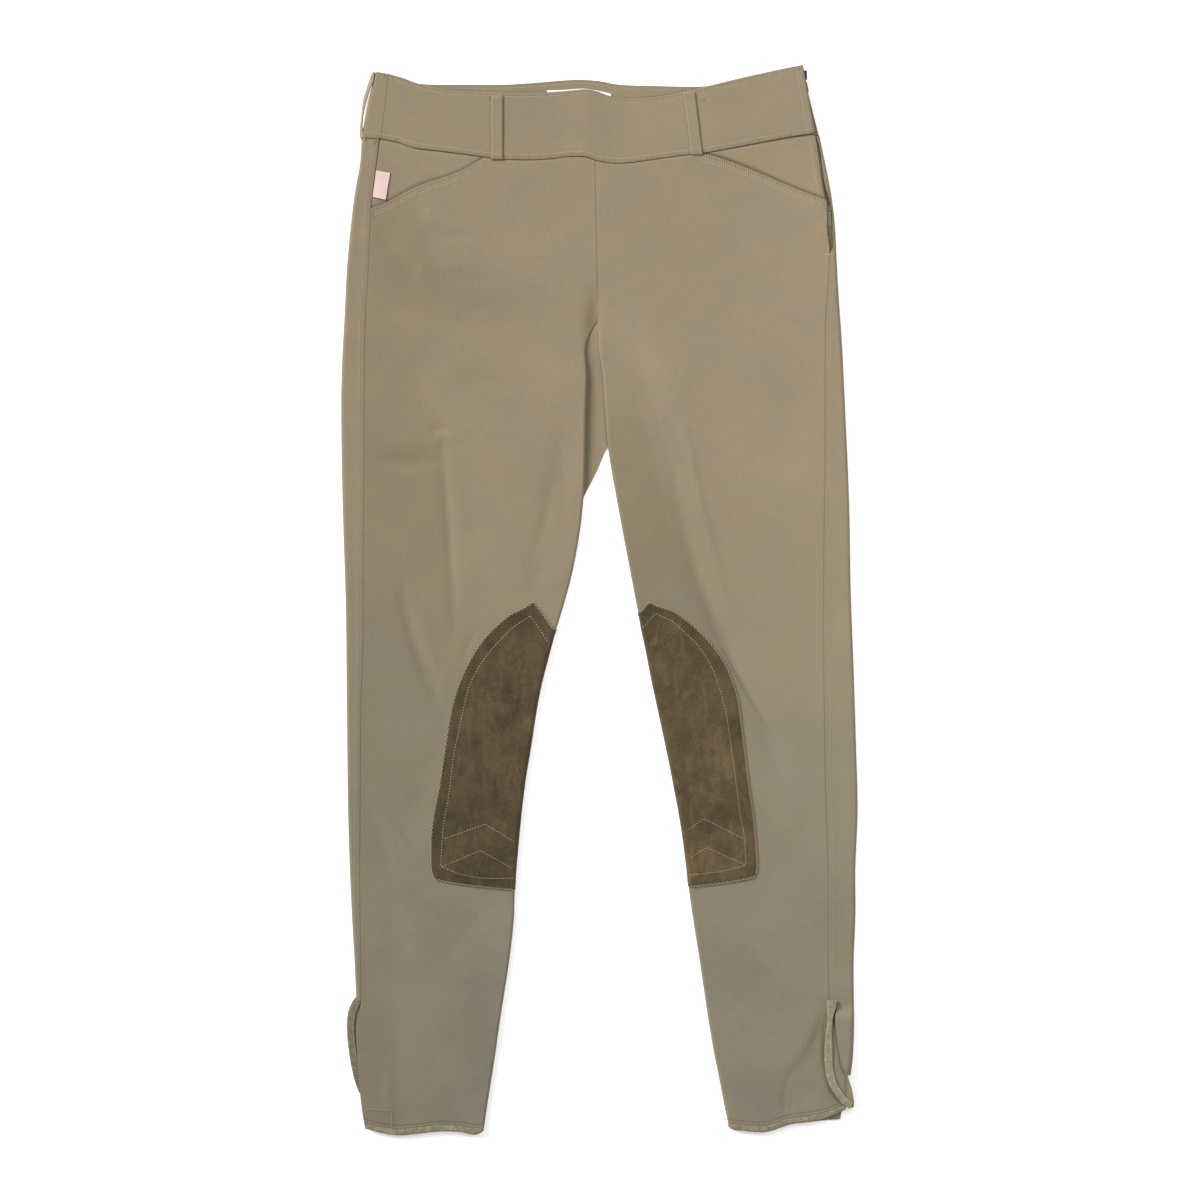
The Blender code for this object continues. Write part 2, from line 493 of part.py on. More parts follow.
def back_panel(side):
    """Outer face of a back leg panel: from the inseam under the leg, over the fold, to the outseam."""
    rows = back_rows(side)
    y, patch = rows["y"], rows["patch"]
    fold_x = line_through(RIGHT_FOLD if side < 0 else LEFT_FOLD, y)
    end_x = rows["side_x"] + side * (SEAM + 0.1)
    if side < 0:
        high = y > RIGHT_SECTIONS[0][0]
        end_x = np.where(high, np.interp(y, (372.4, 437.9), (-217.8, -209.6)), end_x)
        top = cloth_top(end_x, y)
        low = y < SLIT_Y
        low_edge = RIGHT_LOW_EDGE
    else:
        end_x = np.where(y > LEFT_ZIP_EDGE[-1][0] + 0.1, line_through(LEFT_ZIP_EDGE, y), end_x)
        top = cloth_top(end_x, y)
        slit = y < SLIT_Y - 1.0
        end_x = np.where(slit, line_through(LEFT_SLIT_EDGE, y), end_x)
        raised = ease(-y, -LEFT_SLIT_EDGE[0][0], -LEFT_SLIT_EDGE[1][0])
        open_end = 0.9 * ease(-y, -LEFT_SLIT_EDGE[3][0], -LEFT_SLIT_EDGE[-1][0])
        top = top * (1 - raised) + (LEG_TOP + FLAP_ROOM + open_end) * raised
        low = y < LEFT_SLIT_EDGE[-1][0] - 1.0
        low_edge = LEFT_LOW_EDGE

    under = BAND_UNDER * ease(y, 385.0, 425.0) + HEM_UNDER * rows["hem"]
    radius = (top - under) / 2
    start_x = np.where(low, line_through(low_edge, y), fold_x - side * radius)
    guide_x = rows["inner_x"] + side * BACK_PATCH_WIDTH
    beyond_x = guide_x + side * 8.0
    t = np.linspace(0, 1, 5)[None, 1:]
    inner = np.stack((rows["inner_x"], (rows["inner_x"] + guide_x) / 2, guide_x, beyond_x), axis=1)
    flat_x = np.concatenate((inner, beyond_x[:, None] * (1 - t) + start_x[:, None] * t), axis=1)
    across = np.array([[0.0, 0.0, 0.0, 0.05, 0.3, 0.6, 0.85, 1.0]])
    flat_y = rows["inner_y"][:, None] * (1 - across) + y[:, None] * across
    waist = np.exp(-np.maximum(y[0] - y, 0) / 25.0)[:, None]
    flat_y = flat_y + waist * (band_edge(BAND_BACK, flat_x) - EDGE_GAP - flat_y[0])
    hem_line = line_through(RIGHT_HEM if side < 0 else LEFT_BACK_HEM, flat_x) + HEM_UNDER + 0.2
    last = flat_y[-1].copy()
    flat_y[-2:] = hem_line[-1] + (flat_y[-2:] - last)
    flat_z = np.repeat(under[:, None], flat_x.shape[1], axis=1)
    flat_z[:, :3] += PATCH_UNDER * patch[:, None]

    # Around the fold by length: a half circle, then straight on to the outseam.
    reach = np.abs(fold_x - end_x)
    half = np.pi * radius
    short = radius * (np.arccos(np.clip(1 - reach / radius, -1, 1)) + np.pi / 2)
    length = np.where(reach >= radius, half + reach - radius, short)
    turn_end = np.minimum(half, length - 1.2)
    at = np.concatenate((turn_end[:, None] * np.array([[0.25, 0.5, 0.75, 1.0]]),
                         turn_end[:, None] + (length - turn_end)[:, None] * np.array([[0.5, 1.0]])), axis=1)
    angle = np.minimum(at, half[:, None]) / radius[:, None] - np.pi / 2
    straight = np.maximum(at - half[:, None], 0)
    wrap_x = fold_x[:, None] - side * (radius[:, None] * (1 - np.cos(angle)) + straight)
    wrap_z = (under + radius)[:, None] + radius[:, None] * np.sin(angle)
    wrap_y = np.repeat(flat_y[:, -1:], at.shape[1], axis=1)

    grid = points(np.concatenate((flat_x, wrap_x), axis=1), np.concatenate((flat_y, wrap_y), axis=1),
                  np.concatenate((flat_z, wrap_z), axis=1))
    keep = np.ones((len(y) - 1, grid.shape[1] - 1), bool)
    keep[low[1:], flat_x.shape[1] - 1:] = False
    return rows, grid, keep, flat_x.shape[1]


def build_leg(side, name):
    """Front and back panel of one leg, with its knee patch and hem bindings."""
    flip = side < 0
    rows, front = front_panel(side)
    wall = np.clip(front[..., 2] - ROOM_TOP, CLOTH, CLOTH_MAX)
    wall[:, -3:] = CLOTH
    sheet(f"front_leg_{name}", front, wall, MATERIALS["cloth"], flip)

    out = normals(front, flip)
    lifted = (front + out * PATCH_UNDER)[rows["patch"], SIDE_CELLS:]
    lifted[:, -1, 2] = SUEDE + SEAM
    sheet(f"knee_patch_front_{name}", lifted, SUEDE, MATERIALS["suede"], flip)
    hem_binding(f"hem_binding_front_{name}", front[:, :-2], out[:, :-2], flip)

    rows, back, keep, flat_columns = back_panel(side)
    sheet(f"back_leg_{name}", back, CLOTH, MATERIALS["cloth"], flip, keep)
    back_patch = back[rows["patch"], :3].copy()
    back_patch[..., 2] = 0.0
    back_patch[:, 0, 0] -= side * PATCH_UNDER
    sheet(f"knee_patch_back_{name}", back_patch, SUEDE, MATERIALS["suede"], flip)
    flat = back[:, :flat_columns]
    hem_binding(f"hem_binding_back_{name}", flat, normals(flat, flip), flip)


def binding_profile(edge, inward, out, wall, width):
    """Hairpin round a raw edge: outer layer, nose and inner layer, as rows of points."""
    above = BINDING_ROOM + BINDING
    below = wall + above
    nose = BINDING + SEAM + 0.15
    steps = ((width, above), (-0.4, above), (-nose, above - 1.0),
             (-nose, 1.0 - below), (-0.4, -below), (width - 0.8, -below))
    return np.stack([edge + inward * reach + out * height for reach, height in steps], axis=0)


def hem_binding(name, panel, out, flip):
    """Binding folded round the last row of a panel."""
    inward = panel[-2] - panel[-1]
    inward = inward / np.linalg.norm(inward, axis=-1, keepdims=True)
    grid = binding_profile(panel[-1], inward, out[-1], CLOTH, BINDING_WIDTH)
    sheet(name, grid, BINDING, MATERIALS["binding"], flip)


# ---------------------------------------------------------------- waistband, loops, labels

def band_top(x):
    lift = line_through([(row[0], row[4]) for row in BAND_FRONT], x)
    return BAND_TOP + lift


def build_waistband():
    """Front band, open at the left end, and back band that rolls over the right side."""
    across = np.array([0.0, 0.06, 0.5, 0.94, 1.0])
    roll = np.array([-0.35, 0.0, 0.0, 0.0, -0.35])
    table = np.column_stack((np.arange(len(BAND_FRONT)), np.asarray(BAND_FRONT)))
    stations = smooth(table, np.linspace(0, len(BAND_FRONT) - 1, 27))
    low, high = stations[:, None, 0:2], stations[:, None, 2:4]
    flat = low * (1 - across[None, :, None]) + high * across[None, :, None]
    z = BAND_TOP + stations[:, 4:5] + roll[None, :]
    sheet("waistband_front", points(flat[..., 0], flat[..., 1], z), BAND, MATERIALS["cloth"], flip=True)

    table = np.column_stack((np.arange(len(BAND_BACK)), np.asarray(BAND_BACK)))
    flat = smooth(table, np.arange(len(BAND_BACK)))
    radius = (BAND_TOP - BAND_UNDER) / 2
    angle = np.radians((-90, -45, 0, 45, 90))
    start = np.asarray(BAND_FOLD)
    turn = np.repeat(start[None, :], len(angle), axis=0)
    turn[:, 0] += radius * (1 - np.cos(angle))
    turn[:, 2] += radius * (1 - np.cos(angle))
    stations = np.concatenate((flat, turn, np.asarray(BAND_SIDE_SEAM)[None, :]))
    height = np.concatenate((np.full(len(flat), BAND_UNDER), BAND_UNDER + radius * (1 + np.sin(angle)),
                             (BAND_TOP,)))
    low, high = stations[:, None, 0:2], stations[:, None, 2:4]
    rows = np.array([0.0, 0.5, 1.0])
    grid = low * (1 - rows[None, :, None]) + high * rows[None, :, None]
    z = np.repeat(height[:, None], len(rows), axis=1)
    sheet("waistband_back", points(grid[..., 0], grid[..., 1], z), BAND, MATERIALS["cloth"], flip=True)


def build_belt_loops():
    """Two loops on the front band, one on each side and one at the centre back."""
    ends = {"right": ((-97.8, 418.2), (-97.8, 479.4)), "left": ((92.0, 422.6), (84.5, 482.8))}
    along = np.array([0.0, 0.08, 0.3, 0.5, 0.7, 0.92, 1.0])
    bow = 1.5 * np.sin(np.pi * along)
    for name, (low, high) in ends.items():
        centre = np.array(low)[None] * (1 - along[:, None]) + np.array(high)[None] * along[:, None]
        half = LOOP_WIDTH / 2 * np.array([-1.0, 0.0, 1.0])
        x = centre[:, :1] + half[None]
        y = np.repeat(centre[:, 1:], 3, axis=1)
        z = band_top(x).max(axis=1)[:, None] + LAY + LOOP + bow[:, None]
        sheet(f"belt_loop_front_{name}", points(x, y, z), LOOP, MATERIALS["cloth"])

    y, low_x, lean = np.asarray(SIDE_LOOP).T
    low_edge = points(low_x, y, SIDE_LOOP_LOW)
    high_edge = points(low_x + lean, y, SIDE_LOOP_HIGH)
    grid = np.stack((low_edge, high_edge), axis=1)
    sheet("belt_loop_side_right", grid, SIDE_LOOP_WALL, MATERIALS["cloth"], flip=True)

    for name, x, low, high in (("back", -24.0, 428.5, 493.0), ("side_left", 160.0, 431.5, 496.5)):
        y = np.linspace(low, high, 3)
        grid = points(x + LOOP_WIDTH / 2 * np.array([[-1.0, 1.0]]), y[:, None], 0.0)
        sheet(f"belt_loop_{name}", grid, BACK_LOOP, MATERIALS["cloth"], flip=True)


def build_labels():
    """Folded label at the right side seam and the label inside the back band, both plain."""
    corners = np.array([[(-212.8, 412.8), (-199.5, 410.4)], [(-216.1, 387.6), (-203.8, 384.8)]])
    z = cloth_top(corners[..., 0], corners[..., 1]).max() + SEAM + LABEL
    sheet("side_label", points(corners[..., 0], corners[..., 1], z), LABEL, MATERIALS["label"], flip=True)
    x, y = np.meshgrid(np.linspace(-50.3, 10.4, 3), (490.2, 470.0))
    z = BAND_UNDER + BAND + SEAM + LABEL
    sheet("inside_label", points(x, y, z), LABEL, MATERIALS["label"], flip=True)


# ---------------------------------------------------------------- pockets

def build_facing(side, name):
    """Pocket facing: the triangle that shows above the opening, and a strip under the front panel."""
    pocket_end = -107.0 if side < 0 else 112.0
    t = np.linspace(0, 1, 9)
    if side < 0:
        top_x = -208.9 + t * (pocket_end + 208.9)
        low_x = -217.1 + t * (pocket_end + 217.1)
    else:
        top_x = 203.6 + t * (pocket_end - 203.6)
        low_x = 213.6 + t * (pocket_end - 213.6)
    top_y = band_edge(BAND_FRONT, top_x) - EDGE_GAP
    shown = np.maximum(top_y - front_edge(side, low_x) - 3.0, 2.0)
    depth = np.stack((0 * shown, 0.45 * shown, shown, shown + 6.0, shown + 15.0))
    share = np.clip(depth / shown[None, :], 0, 1)
    x = top_x[None, :] * (1 - share) + low_x[None, :] * share
    if side > 0:
        x[:3, 0] = line_through(PLACKET, top_y[0] - depth[:3, 0]) - SEAM
    y = top_y[None, :] - depth
    above = y - front_edge(side, x)
    under = cloth_under(x, y) - 0.45
    z = under + ease(above, 4.0, 14.0) * (cloth_top(x, y) - 0.5 - under)
    sheet(f"pocket_facing_{name}", points(x, y, z), FACING, MATERIALS["cloth"], flip=side < 0)


# ---------------------------------------------------------------- ankle flaps

def build_flap(side, name):
    """Curved extension behind the ankle slit and the binding on its edge."""
    table = RIGHT_FLAP if side < 0 else LEFT_FLAP
    y = np.linspace(table[0][0], table[-1][0], 15)
    edge = line_through(table, y) + BINDING + SEAM
    t = np.array([[0.0, 0.35, 0.7, 1.0]])
    if side < 0:
        hidden = edge + FLAP_WIDTH
        reach = np.full(len(y), BINDING_WIDTH)[:, None]
    else:
        hidden = line_through(LEFT_FLAP_HIDDEN, y)
        reach = line_through(LEFT_BINDING_REACH, y)[:, None]
    x = hidden[:, None] * (1 - t) + edge[:, None] * t
    y = np.repeat(y[:, None], 4, axis=1)
    if side < 0:
        z = CLOTH + SEAM + FLAP
    else:
        over_hem = HEM_UNDER * ease(-y, 458.0, 472.0)
        z = cloth_top(x, y) + over_hem + LAY + BINDING + SEAM + FLAP
    grid = points(x, y, z)
    sheet(f"ankle_flap_{name}", grid, FLAP, MATERIALS["cloth"])
    border = grid[:, -1]
    along = np.gradient(border, axis=0)
    up = np.array([0.0, 0.0, 1.0])
    inward = np.cross(up, along)
    inward = inward / np.linalg.norm(inward, axis=-1, keepdims=True)
    binding = binding_profile(border, inward, np.broadcast_to(up, inward.shape), FLAP, reach)
    sheet(f"slit_binding_{name}", binding, BINDING, MATERIALS["binding"], flip=True)


# ---------------------------------------------------------------- zip and hook

def build_zip():
    """Tapes on both sides of the opening, the closed chain, the slider and its pull tab."""
    y, edge = np.asarray(ZIP_FRONT_EDGE).T
    grid = np.stack((points(edge - TAPE_WIDTH, y, TAPE_TOP), points(edge, y, TAPE_TOP)), axis=1)
    sheet("zip_tape_front", grid, TAPE, MATERIALS["tape"], flip=True)

    y, edge = np.asarray(ZIP_BACK_EDGE).T
    hidden = np.clip(line_through(LEFT_FOLD, y) - CLOTH - LAY, edge + 0.4, edge + TAPE_WIDTH)
    grid = np.stack((points(edge, y, TAPE_TOP), points(hidden, y, TAPE_TOP)), axis=1)
    sheet("zip_tape_back", grid, TAPE, MATERIALS["tape"], flip=True)

    y = np.array([367.6, 349.0, 331.0])
    centre = np.array([218.3, 218.8, 219.3])
    across = CHAIN_WIDTH / 2 * np.array([[-1.0, 0.0, 1.0]])
    z = CHAIN_TOP + np.array([[-0.3, 0.0, -0.3]])
    chain = points(centre[:, None] + across, y[:, None], z)
    sheet("zip_chain", chain, CHAIN_THICKNESS, MATERIALS["tape"], flip=True)
    build_slider()
    build_pull()


def outline_object(name, loops, depth, material, collection):
    """Flat outline (first loop, with the others as holes) as a filled 2D curve of the given depth."""
    curve = bpy.data.curves.new(name, "CURVE")
    curve.dimensions = "2D"
    curve.fill_mode = "BOTH"
    curve.extrude = depth / 2 * MM
    for loop in loops:
        spline = curve.splines.new("POLY")
        spline.points.add(len(loop) - 1)
        for point, (across, along) in zip(spline.points, loop):
            point.co = (across * MM, along * MM, 0.0, 1.0)
        spline.use_cyclic_u = True
    return add_object(name, curve, material, collection)


def curve_to_mesh(item):
    """Replace a curve object by the mesh it makes, with the caps welded on."""
    bpy.context.view_layer.update()
    mesh = bpy.data.meshes.new_from_object(item.evaluated_get(bpy.context.evaluated_depsgraph_get()))
    work = bmesh.new()
    work.from_mesh(mesh)
    bmesh.ops.remove_doubles(work, verts=work.verts, dist=0.00001)
    bmesh.ops.recalc_face_normals(work, faces=work.faces)
    work.to_mesh(mesh)
    work.free()
    name, matrix, collection = item.name, item.matrix_world.copy(), item.users_collection[0]
    bpy.data.objects.remove(item)
    solid = bpy.data.objects.new(name, mesh)
    collection.objects.link(solid)
    solid.matrix_world = matrix
    return solid


def build_slider():
    """Slider body with the bridge that holds the pull tab."""
    bpy.ops.mesh.primitive_cube_add(size=1.0, location=[value * MM for value in SLIDER_CENTRE])
    body = bpy.context.active_object
    body.name = "zip_slider"
    for collection in list(body.users_collection):
        collection.objects.unlink(body)
    PARTS.objects.link(body)
    body.data.materials.append(MATERIALS["zip_metal"])
    body.data.transform([(SLIDER_SIZE[0] * MM, 0, 0, 0), (0, SLIDER_SIZE[1] * MM, 0, 0),
                         (0, 0, SLIDER_SIZE[2] * MM, 0), (0, 0, 0, 1)])
    bevel = body.modifiers.new("Edges", "BEVEL")
    bevel.width = 0.5 * MM
    bevel.segments = 1

    body_top = SLIDER_CENTRE[2] + SLIDER_SIZE[2] / 2
    inner = BRIDGE_ROOM
    outer = BRIDGE_ROOM + BRIDGE_WALL
    room_top = PIVOT[2] + PULL_THICKNESS / 2 + 0.35 - body_top
    high = room_top + BRIDGE_WALL
    sunk = -0.6
    loop = ((-outer, sunk), (outer, sunk), (outer, high - 0.3), (outer - 0.3, high), (0.3 - outer, high),
            (-outer, high - 0.3))
    room = ((-inner, 0.05), (inner, 0.05), (inner, room_top), (-inner, room_top))
    bridge = outline_object("bridge", (loop, room), BRIDGE_WIDTH, MATERIALS["zip_metal"], TOOLS)
    bridge.rotation_euler = (math.pi / 2, 0, math.pi / 2)
    bridge.location = (PIVOT[0] * MM, PIVOT[1] * MM, body_top * MM)
    bridge = curve_to_mesh(bridge)
    bridge.hide_render = True
    bridge.display_type = "WIRE"
    union = body.modifiers.new("Bridge", "BOOLEAN")
    union.operation = "UNION"
    union.object = bridge


def build_pull():
    """Pull tab with its eye; the object's origin is on the bar that turns in the bridge."""
    tip = np.radians(np.linspace(0, -180, 7))
    half = PULL_WIDTH / 2
    end = half * 0.85
    rounded = [(end * math.cos(a), -PULL_LENGTH + end + end * math.sin(a)) for a in tip]
    outline = [(-half, EYE_FROM), (half, EYE_FROM)] + rounded
    eye = [(-EYE_WIDTH / 2, -EYE_TO), (EYE_WIDTH / 2, -EYE_TO), (EYE_WIDTH / 2, -EYE_FROM),
           (-EYE_WIDTH / 2, -EYE_FROM)]
    pull = outline_object("zip_pull", (outline, eye), PULL_THICKNESS, MATERIALS["zip_metal"], PARTS)
    pull.location = [value * MM for value in PIVOT]


def build_waist_hook():
    """Bent hook plate and the wire bar below it, between the band's two ends."""
    x = np.array([186.0, 194.0, 195.4, 196.2])
    z = np.array([5.0, 5.0, 5.1, 5.7])
    grid = points(x[:, None], np.array([[494.2, 503.4]]), z[:, None])
    sheet("waist_hook", grid, 0.8, MATERIALS["hook_metal"], flip=True)

    curve = bpy.data.curves.new("waist_bar", "CURVE")
    curve.dimensions = "3D"
    curve.bevel_depth = 0.5 * MM
    curve.bevel_resolution = 2
    curve.use_fill_caps = True
    spline = curve.splines.new("POLY")
    route = ((188.5, 492.4), (195.2, 492.4), (196.2, 491.6), (198.0, 483.0), (197.2, 482.0), (190.0, 482.0))
    spline.points.add(len(route) - 1)
    for point, (x, y) in zip(spline.points, route):
        point.co = (x * MM, y * MM, 4.8 * MM, 1.0)
    add_object("waist_bar", curve, MATERIALS["hook_metal"], PARTS)


# ---------------------------------------------------------------- build

for item in list(bpy.data.objects):
    bpy.data.objects.remove(item)

PARTS = new_collection("riding_breeches")
TOOLS = new_collection("cutters")

MATERIALS = {
    "cloth": new_material("khaki twill", (0.305, 0.250, 0.170), 0.85),
    "suede": new_material("brown suede", (0.125, 0.085, 0.047), 0.95),
    "binding": new_material("olive binding", (0.310, 0.285, 0.165), 0.85),
    "label": new_material("plain label", (0.80, 0.76, 0.74), 0.8),
    "tape": new_material("zip tape", (0.230, 0.205, 0.140), 0.8),
    "zip_metal": new_material("painted zip metal", (0.240, 0.215, 0.150), 0.45, 0.3),
    "hook_metal": new_material("dark nickel", (0.060, 0.058, 0.055), 0.35, 1.0),
}

for leg_side, leg_name in ((-1, "right"), (1, "left")):
    build_leg(leg_side, leg_name)
    build_facing(leg_side, leg_name)
    build_flap(leg_side, leg_name)
build_waistband()
build_belt_loops()
build_labels()
build_zip()
build_waist_hook()
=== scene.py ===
"""Khaki riding breeches lying flat with the front up: the cloth, suede, trim and sewing.

Lengths are in millimetres until a mesh is made. +X is the wearer's left, +Y points to the waist
and z = 0 is the surface the breeches lie on. "Right" and "left" are the wearer's.
"""

import math

import bpy
import numpy as np
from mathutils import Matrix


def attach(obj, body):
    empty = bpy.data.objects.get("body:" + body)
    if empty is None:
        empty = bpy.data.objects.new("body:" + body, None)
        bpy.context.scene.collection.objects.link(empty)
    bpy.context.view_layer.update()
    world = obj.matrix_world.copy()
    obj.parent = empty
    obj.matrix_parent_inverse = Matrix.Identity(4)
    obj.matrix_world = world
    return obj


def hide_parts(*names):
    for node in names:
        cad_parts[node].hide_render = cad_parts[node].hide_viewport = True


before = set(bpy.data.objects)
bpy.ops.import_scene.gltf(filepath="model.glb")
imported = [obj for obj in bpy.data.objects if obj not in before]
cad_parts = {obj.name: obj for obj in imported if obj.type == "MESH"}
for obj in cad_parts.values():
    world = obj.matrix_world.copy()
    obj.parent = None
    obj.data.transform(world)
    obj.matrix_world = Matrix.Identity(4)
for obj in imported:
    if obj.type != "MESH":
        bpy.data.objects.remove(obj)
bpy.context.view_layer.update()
BODY = "breeches"


# ---------------------------------------------------------------- front leg panels
# Each front is one piece of stretch twill from the waist seam to the hem. It meets the back at the
# outseam, its upper outer corner is the slant pocket's folded opening, and it turns down over the
# inner edge of the leg, where the inseam lies underneath.

MM = 0.001
SIDES = ((-1, "right"), (1, "left"))
# Cloth thickness, the height of the leg and of the fuller hips, and where those begin and end in y.
CLOTH_WALL = 0.9
LEG_TOP, HIP_TOP = 6.5, 6.9
HIP_FROM, HIP_TO = 60.0, 330.0
# Gaps at seams, and how far an edge is eased back from its seam line.
SEAM, EDGE_GAP = 0.3, 0.3
SIDE_EASE, CENTRE_EASE = 0.15, 0.2
INSEAM_RADIUS = 2.5
# Room for what lies on or under the cloth at a knee patch and at a hem.
PATCH_UNDER = 1.6
HEM_UNDER, HEM_ROOM, HEM_CLEAR = 1.2, 1.1, 1.4
TWILL_SPACING, PUCKER_PITCH = 1.3, 2.2
SHARP_EDGE = math.radians(48)

# One row for each section across a front, from the outseam over the knee patch's outer line to the
# inseam. "turn" says how far the inner edge is turned down, "patch" where the knee patch lies.
SECTION_COLUMNS = ("side_y", "patch_y", "inner_y", "side_x", "patch_x", "inner_x", "turn", "patch")
SECTIONS = {-1: (
    (372.4, 419.9, 417.5, -217.5, -96.9, -5.1, 0, 0),
    (351.5, 380.0, 378.1, -218.5, -96.9, -4.2, 0, 0),
    (321.1, 332.5, 330.6, -219.6, -96.9, -3.2, 0, 0),
    (292.6, 296.4, 294.5, -221.2, -95.9, -2.6, 0, 0),
    (266.0, 266.0, 267.9, -222.8, -95.0, -2.4, 0, 0),
    (242.2, 242.2, 242.2, -223.2, -91.2, -13.0, 1, 0),
    (213.8, 213.8, 213.8, -223.4, -88.3, -12.3, 1, 0),
    (180.5, 180.5, 180.5, -223.7, -84.5, -13.3, 1, 0),
    (145.3, 145.3, 145.3, -223.8, -80.8, -13.9, 1, 0),
    (118.8, 118.8, 118.8, -224.0, -77.0, -14.6, 1, 0),
    (97.8, 97.8, 97.8, -224.2, -74.1, -15.6, 1, 0),
    (66.5, 66.5, 62.7, -224.5, -69.3, -19.5, 1, 0),
    (33.2, 33.2, 19.0, -224.7, -65.5, -28.0, 1, 0),
    (1.9, 0.0, -27.5, -224.8, -64.2, -41.3, 1, 1),
    (-23.8, -16.1, -42.8, -224.9, -88.3, -45.6, 1, 1),
    (-49.4, -38.0, -60.8, -225.1, -111.1, -50.3, 1, 1),
    (-76.0, -68.4, -81.7, -226.1, -129.2, -55.6, 1, 1),
    (-104.5, -99.8, -106.4, -227.0, -140.1, -60.3, 1, 1),
    (-137.8, -137.8, -137.8, -227.3, -146.8, -65.1, 1, 1),
    (-175.8, -175.8, -175.8, -227.5, -152.5, -71.2, 1, 1),
    (-218.5, -218.5, -218.5, -227.8, -160.1, -76.0, 1, 1),
    (-260.3, -262.2, -275.5, -228.0, -160.5, -80.8, 1, 1),
    (-299.2, -299.2, -304.0, -227.7, -160.5, -81.9, 1, 0),
    (-340.1, -340.1, -340.1, -227.3, -161.5, -85.9, 1, 0),
    (-380.9, -380.9, -380.9, -227.0, -162.4, -92.1, 1, 0),
    (-405.6, -405.6, -405.6, -231.8, -163.4, -95.9, 1, 0),
    (-430.3, -430.3, -430.3, -230.7, -164.3, -99.3, 1, 0),
    (-456.0, -456.0, -456.0, -229.2, -165.3, -103.3, 1, 0),
    (-478.8, -478.8, -478.8, -226.7, -166.2, -106.9, 1, 0),
    (-494.5, -497.4, -495.5, -224.6, -166.2, -109.4, 1, 0),
    (-502.5, -505.4, -503.5, -222.8, -166.2, -110.7, 1, 0),
), 1: (
    (380.5, 421.8, 416.1, 214.4, 95.0, -4.6, 0, 0),
    (371.2, 404.0, 400.0, 215.7, 94.3, -4.3, 0, 0),
    (351.5, 380.0, 377.1, 215.7, 93.1, -3.7, 0, 0),
    (329.6, 332.5, 330.6, 218.1, 91.2, -2.7, 0, 0),
    (296.4, 296.4, 294.5, 216.4, 88.3, -2.1, 0, 0),
    (266.0, 266.0, 267.9, 214.2, 85.5, -1.9, 0, 0),
    (242.2, 242.2, 242.2, 213.9, 83.6, -1.3, 1, 0),
    (213.8, 213.8, 213.8, 213.8, 81.7, 2.4, 1, 0),
    (180.5, 180.5, 180.5, 213.8, 79.8, 4.9, 1, 0),
    (145.3, 145.3, 145.3, 213.8, 77.0, 7.6, 1, 0),
    (118.8, 118.8, 118.8, 213.8, 74.1, 11.7, 1, 0),
    (97.8, 97.8, 97.8, 213.3, 70.3, 15.5, 1, 0),
    (66.5, 66.5, 66.5, 212.8, 62.7, 21.2, 1, 0),
    (33.2, 33.2, 28.5, 212.5, 53.2, 28.5, 1, 0),
    (1.9, 0.0, -11.0, 212.3, 47.5, 35.9, 1, 1),
    (-20.9, -11.4, -26.6, 212.3, 71.2, 38.7, 1, 1),
    (-47.5, -30.4, -45.6, 212.4, 95.0, 42.8, 1, 1),
    (-76.0, -57.0, -72.2, 212.6, 116.8, 48.0, 1, 1),
    (-106.4, -90.2, -100.7, 213.0, 130.2, 54.0, 1, 1),
    (-137.8, -133.0, -137.8, 213.5, 136.5, 62.0, 1, 1),
    (-175.8, -175.8, -175.8, 214.2, 141.7, 69.6, 1, 1),
    (-218.5, -218.5, -218.5, 215.6, 147.4, 77.2, 1, 1),
    (-258.4, -260.3, -272.6, 216.6, 149.9, 84.1, 1, 1),
    (-299.2, -299.2, -304.0, 216.6, 150.1, 88.6, 1, 0),
    (-340.1, -340.1, -340.1, 216.6, 150.1, 94.3, 1, 0),
    (-363.0, -363.0, -363.0, 217.3, 150.1, 97.7, 1, 0),
    (-380.9, -380.9, -380.9, 218.0, 150.2, 100.3, 1, 0),
    (-390.0, -390.0, -390.0, 221.9, 151.2, 101.6, 1, 0),
    (-400.0, -400.0, -400.0, 226.2, 152.8, 103.2, 1, 0),
    (-412.0, -412.0, -412.0, 228.9, 154.4, 105.2, 1, 0),
    (-430.3, -430.3, -430.3, 230.8, 155.8, 108.3, 1, 0),
    (-451.0, -451.0, -451.0, 232.5, 156.6, 112.5, 1, 0),
    (-470.0, -474.0, -474.0, 233.5, 159.0, 117.0, 1, 0),
    (-478.0, -491.5, -493.6, 234.4, 168.1, 120.8, 1, 0),
    (-484.0, -499.7, -501.6, 233.5, 169.1, 122.2, 1, 0),
)}
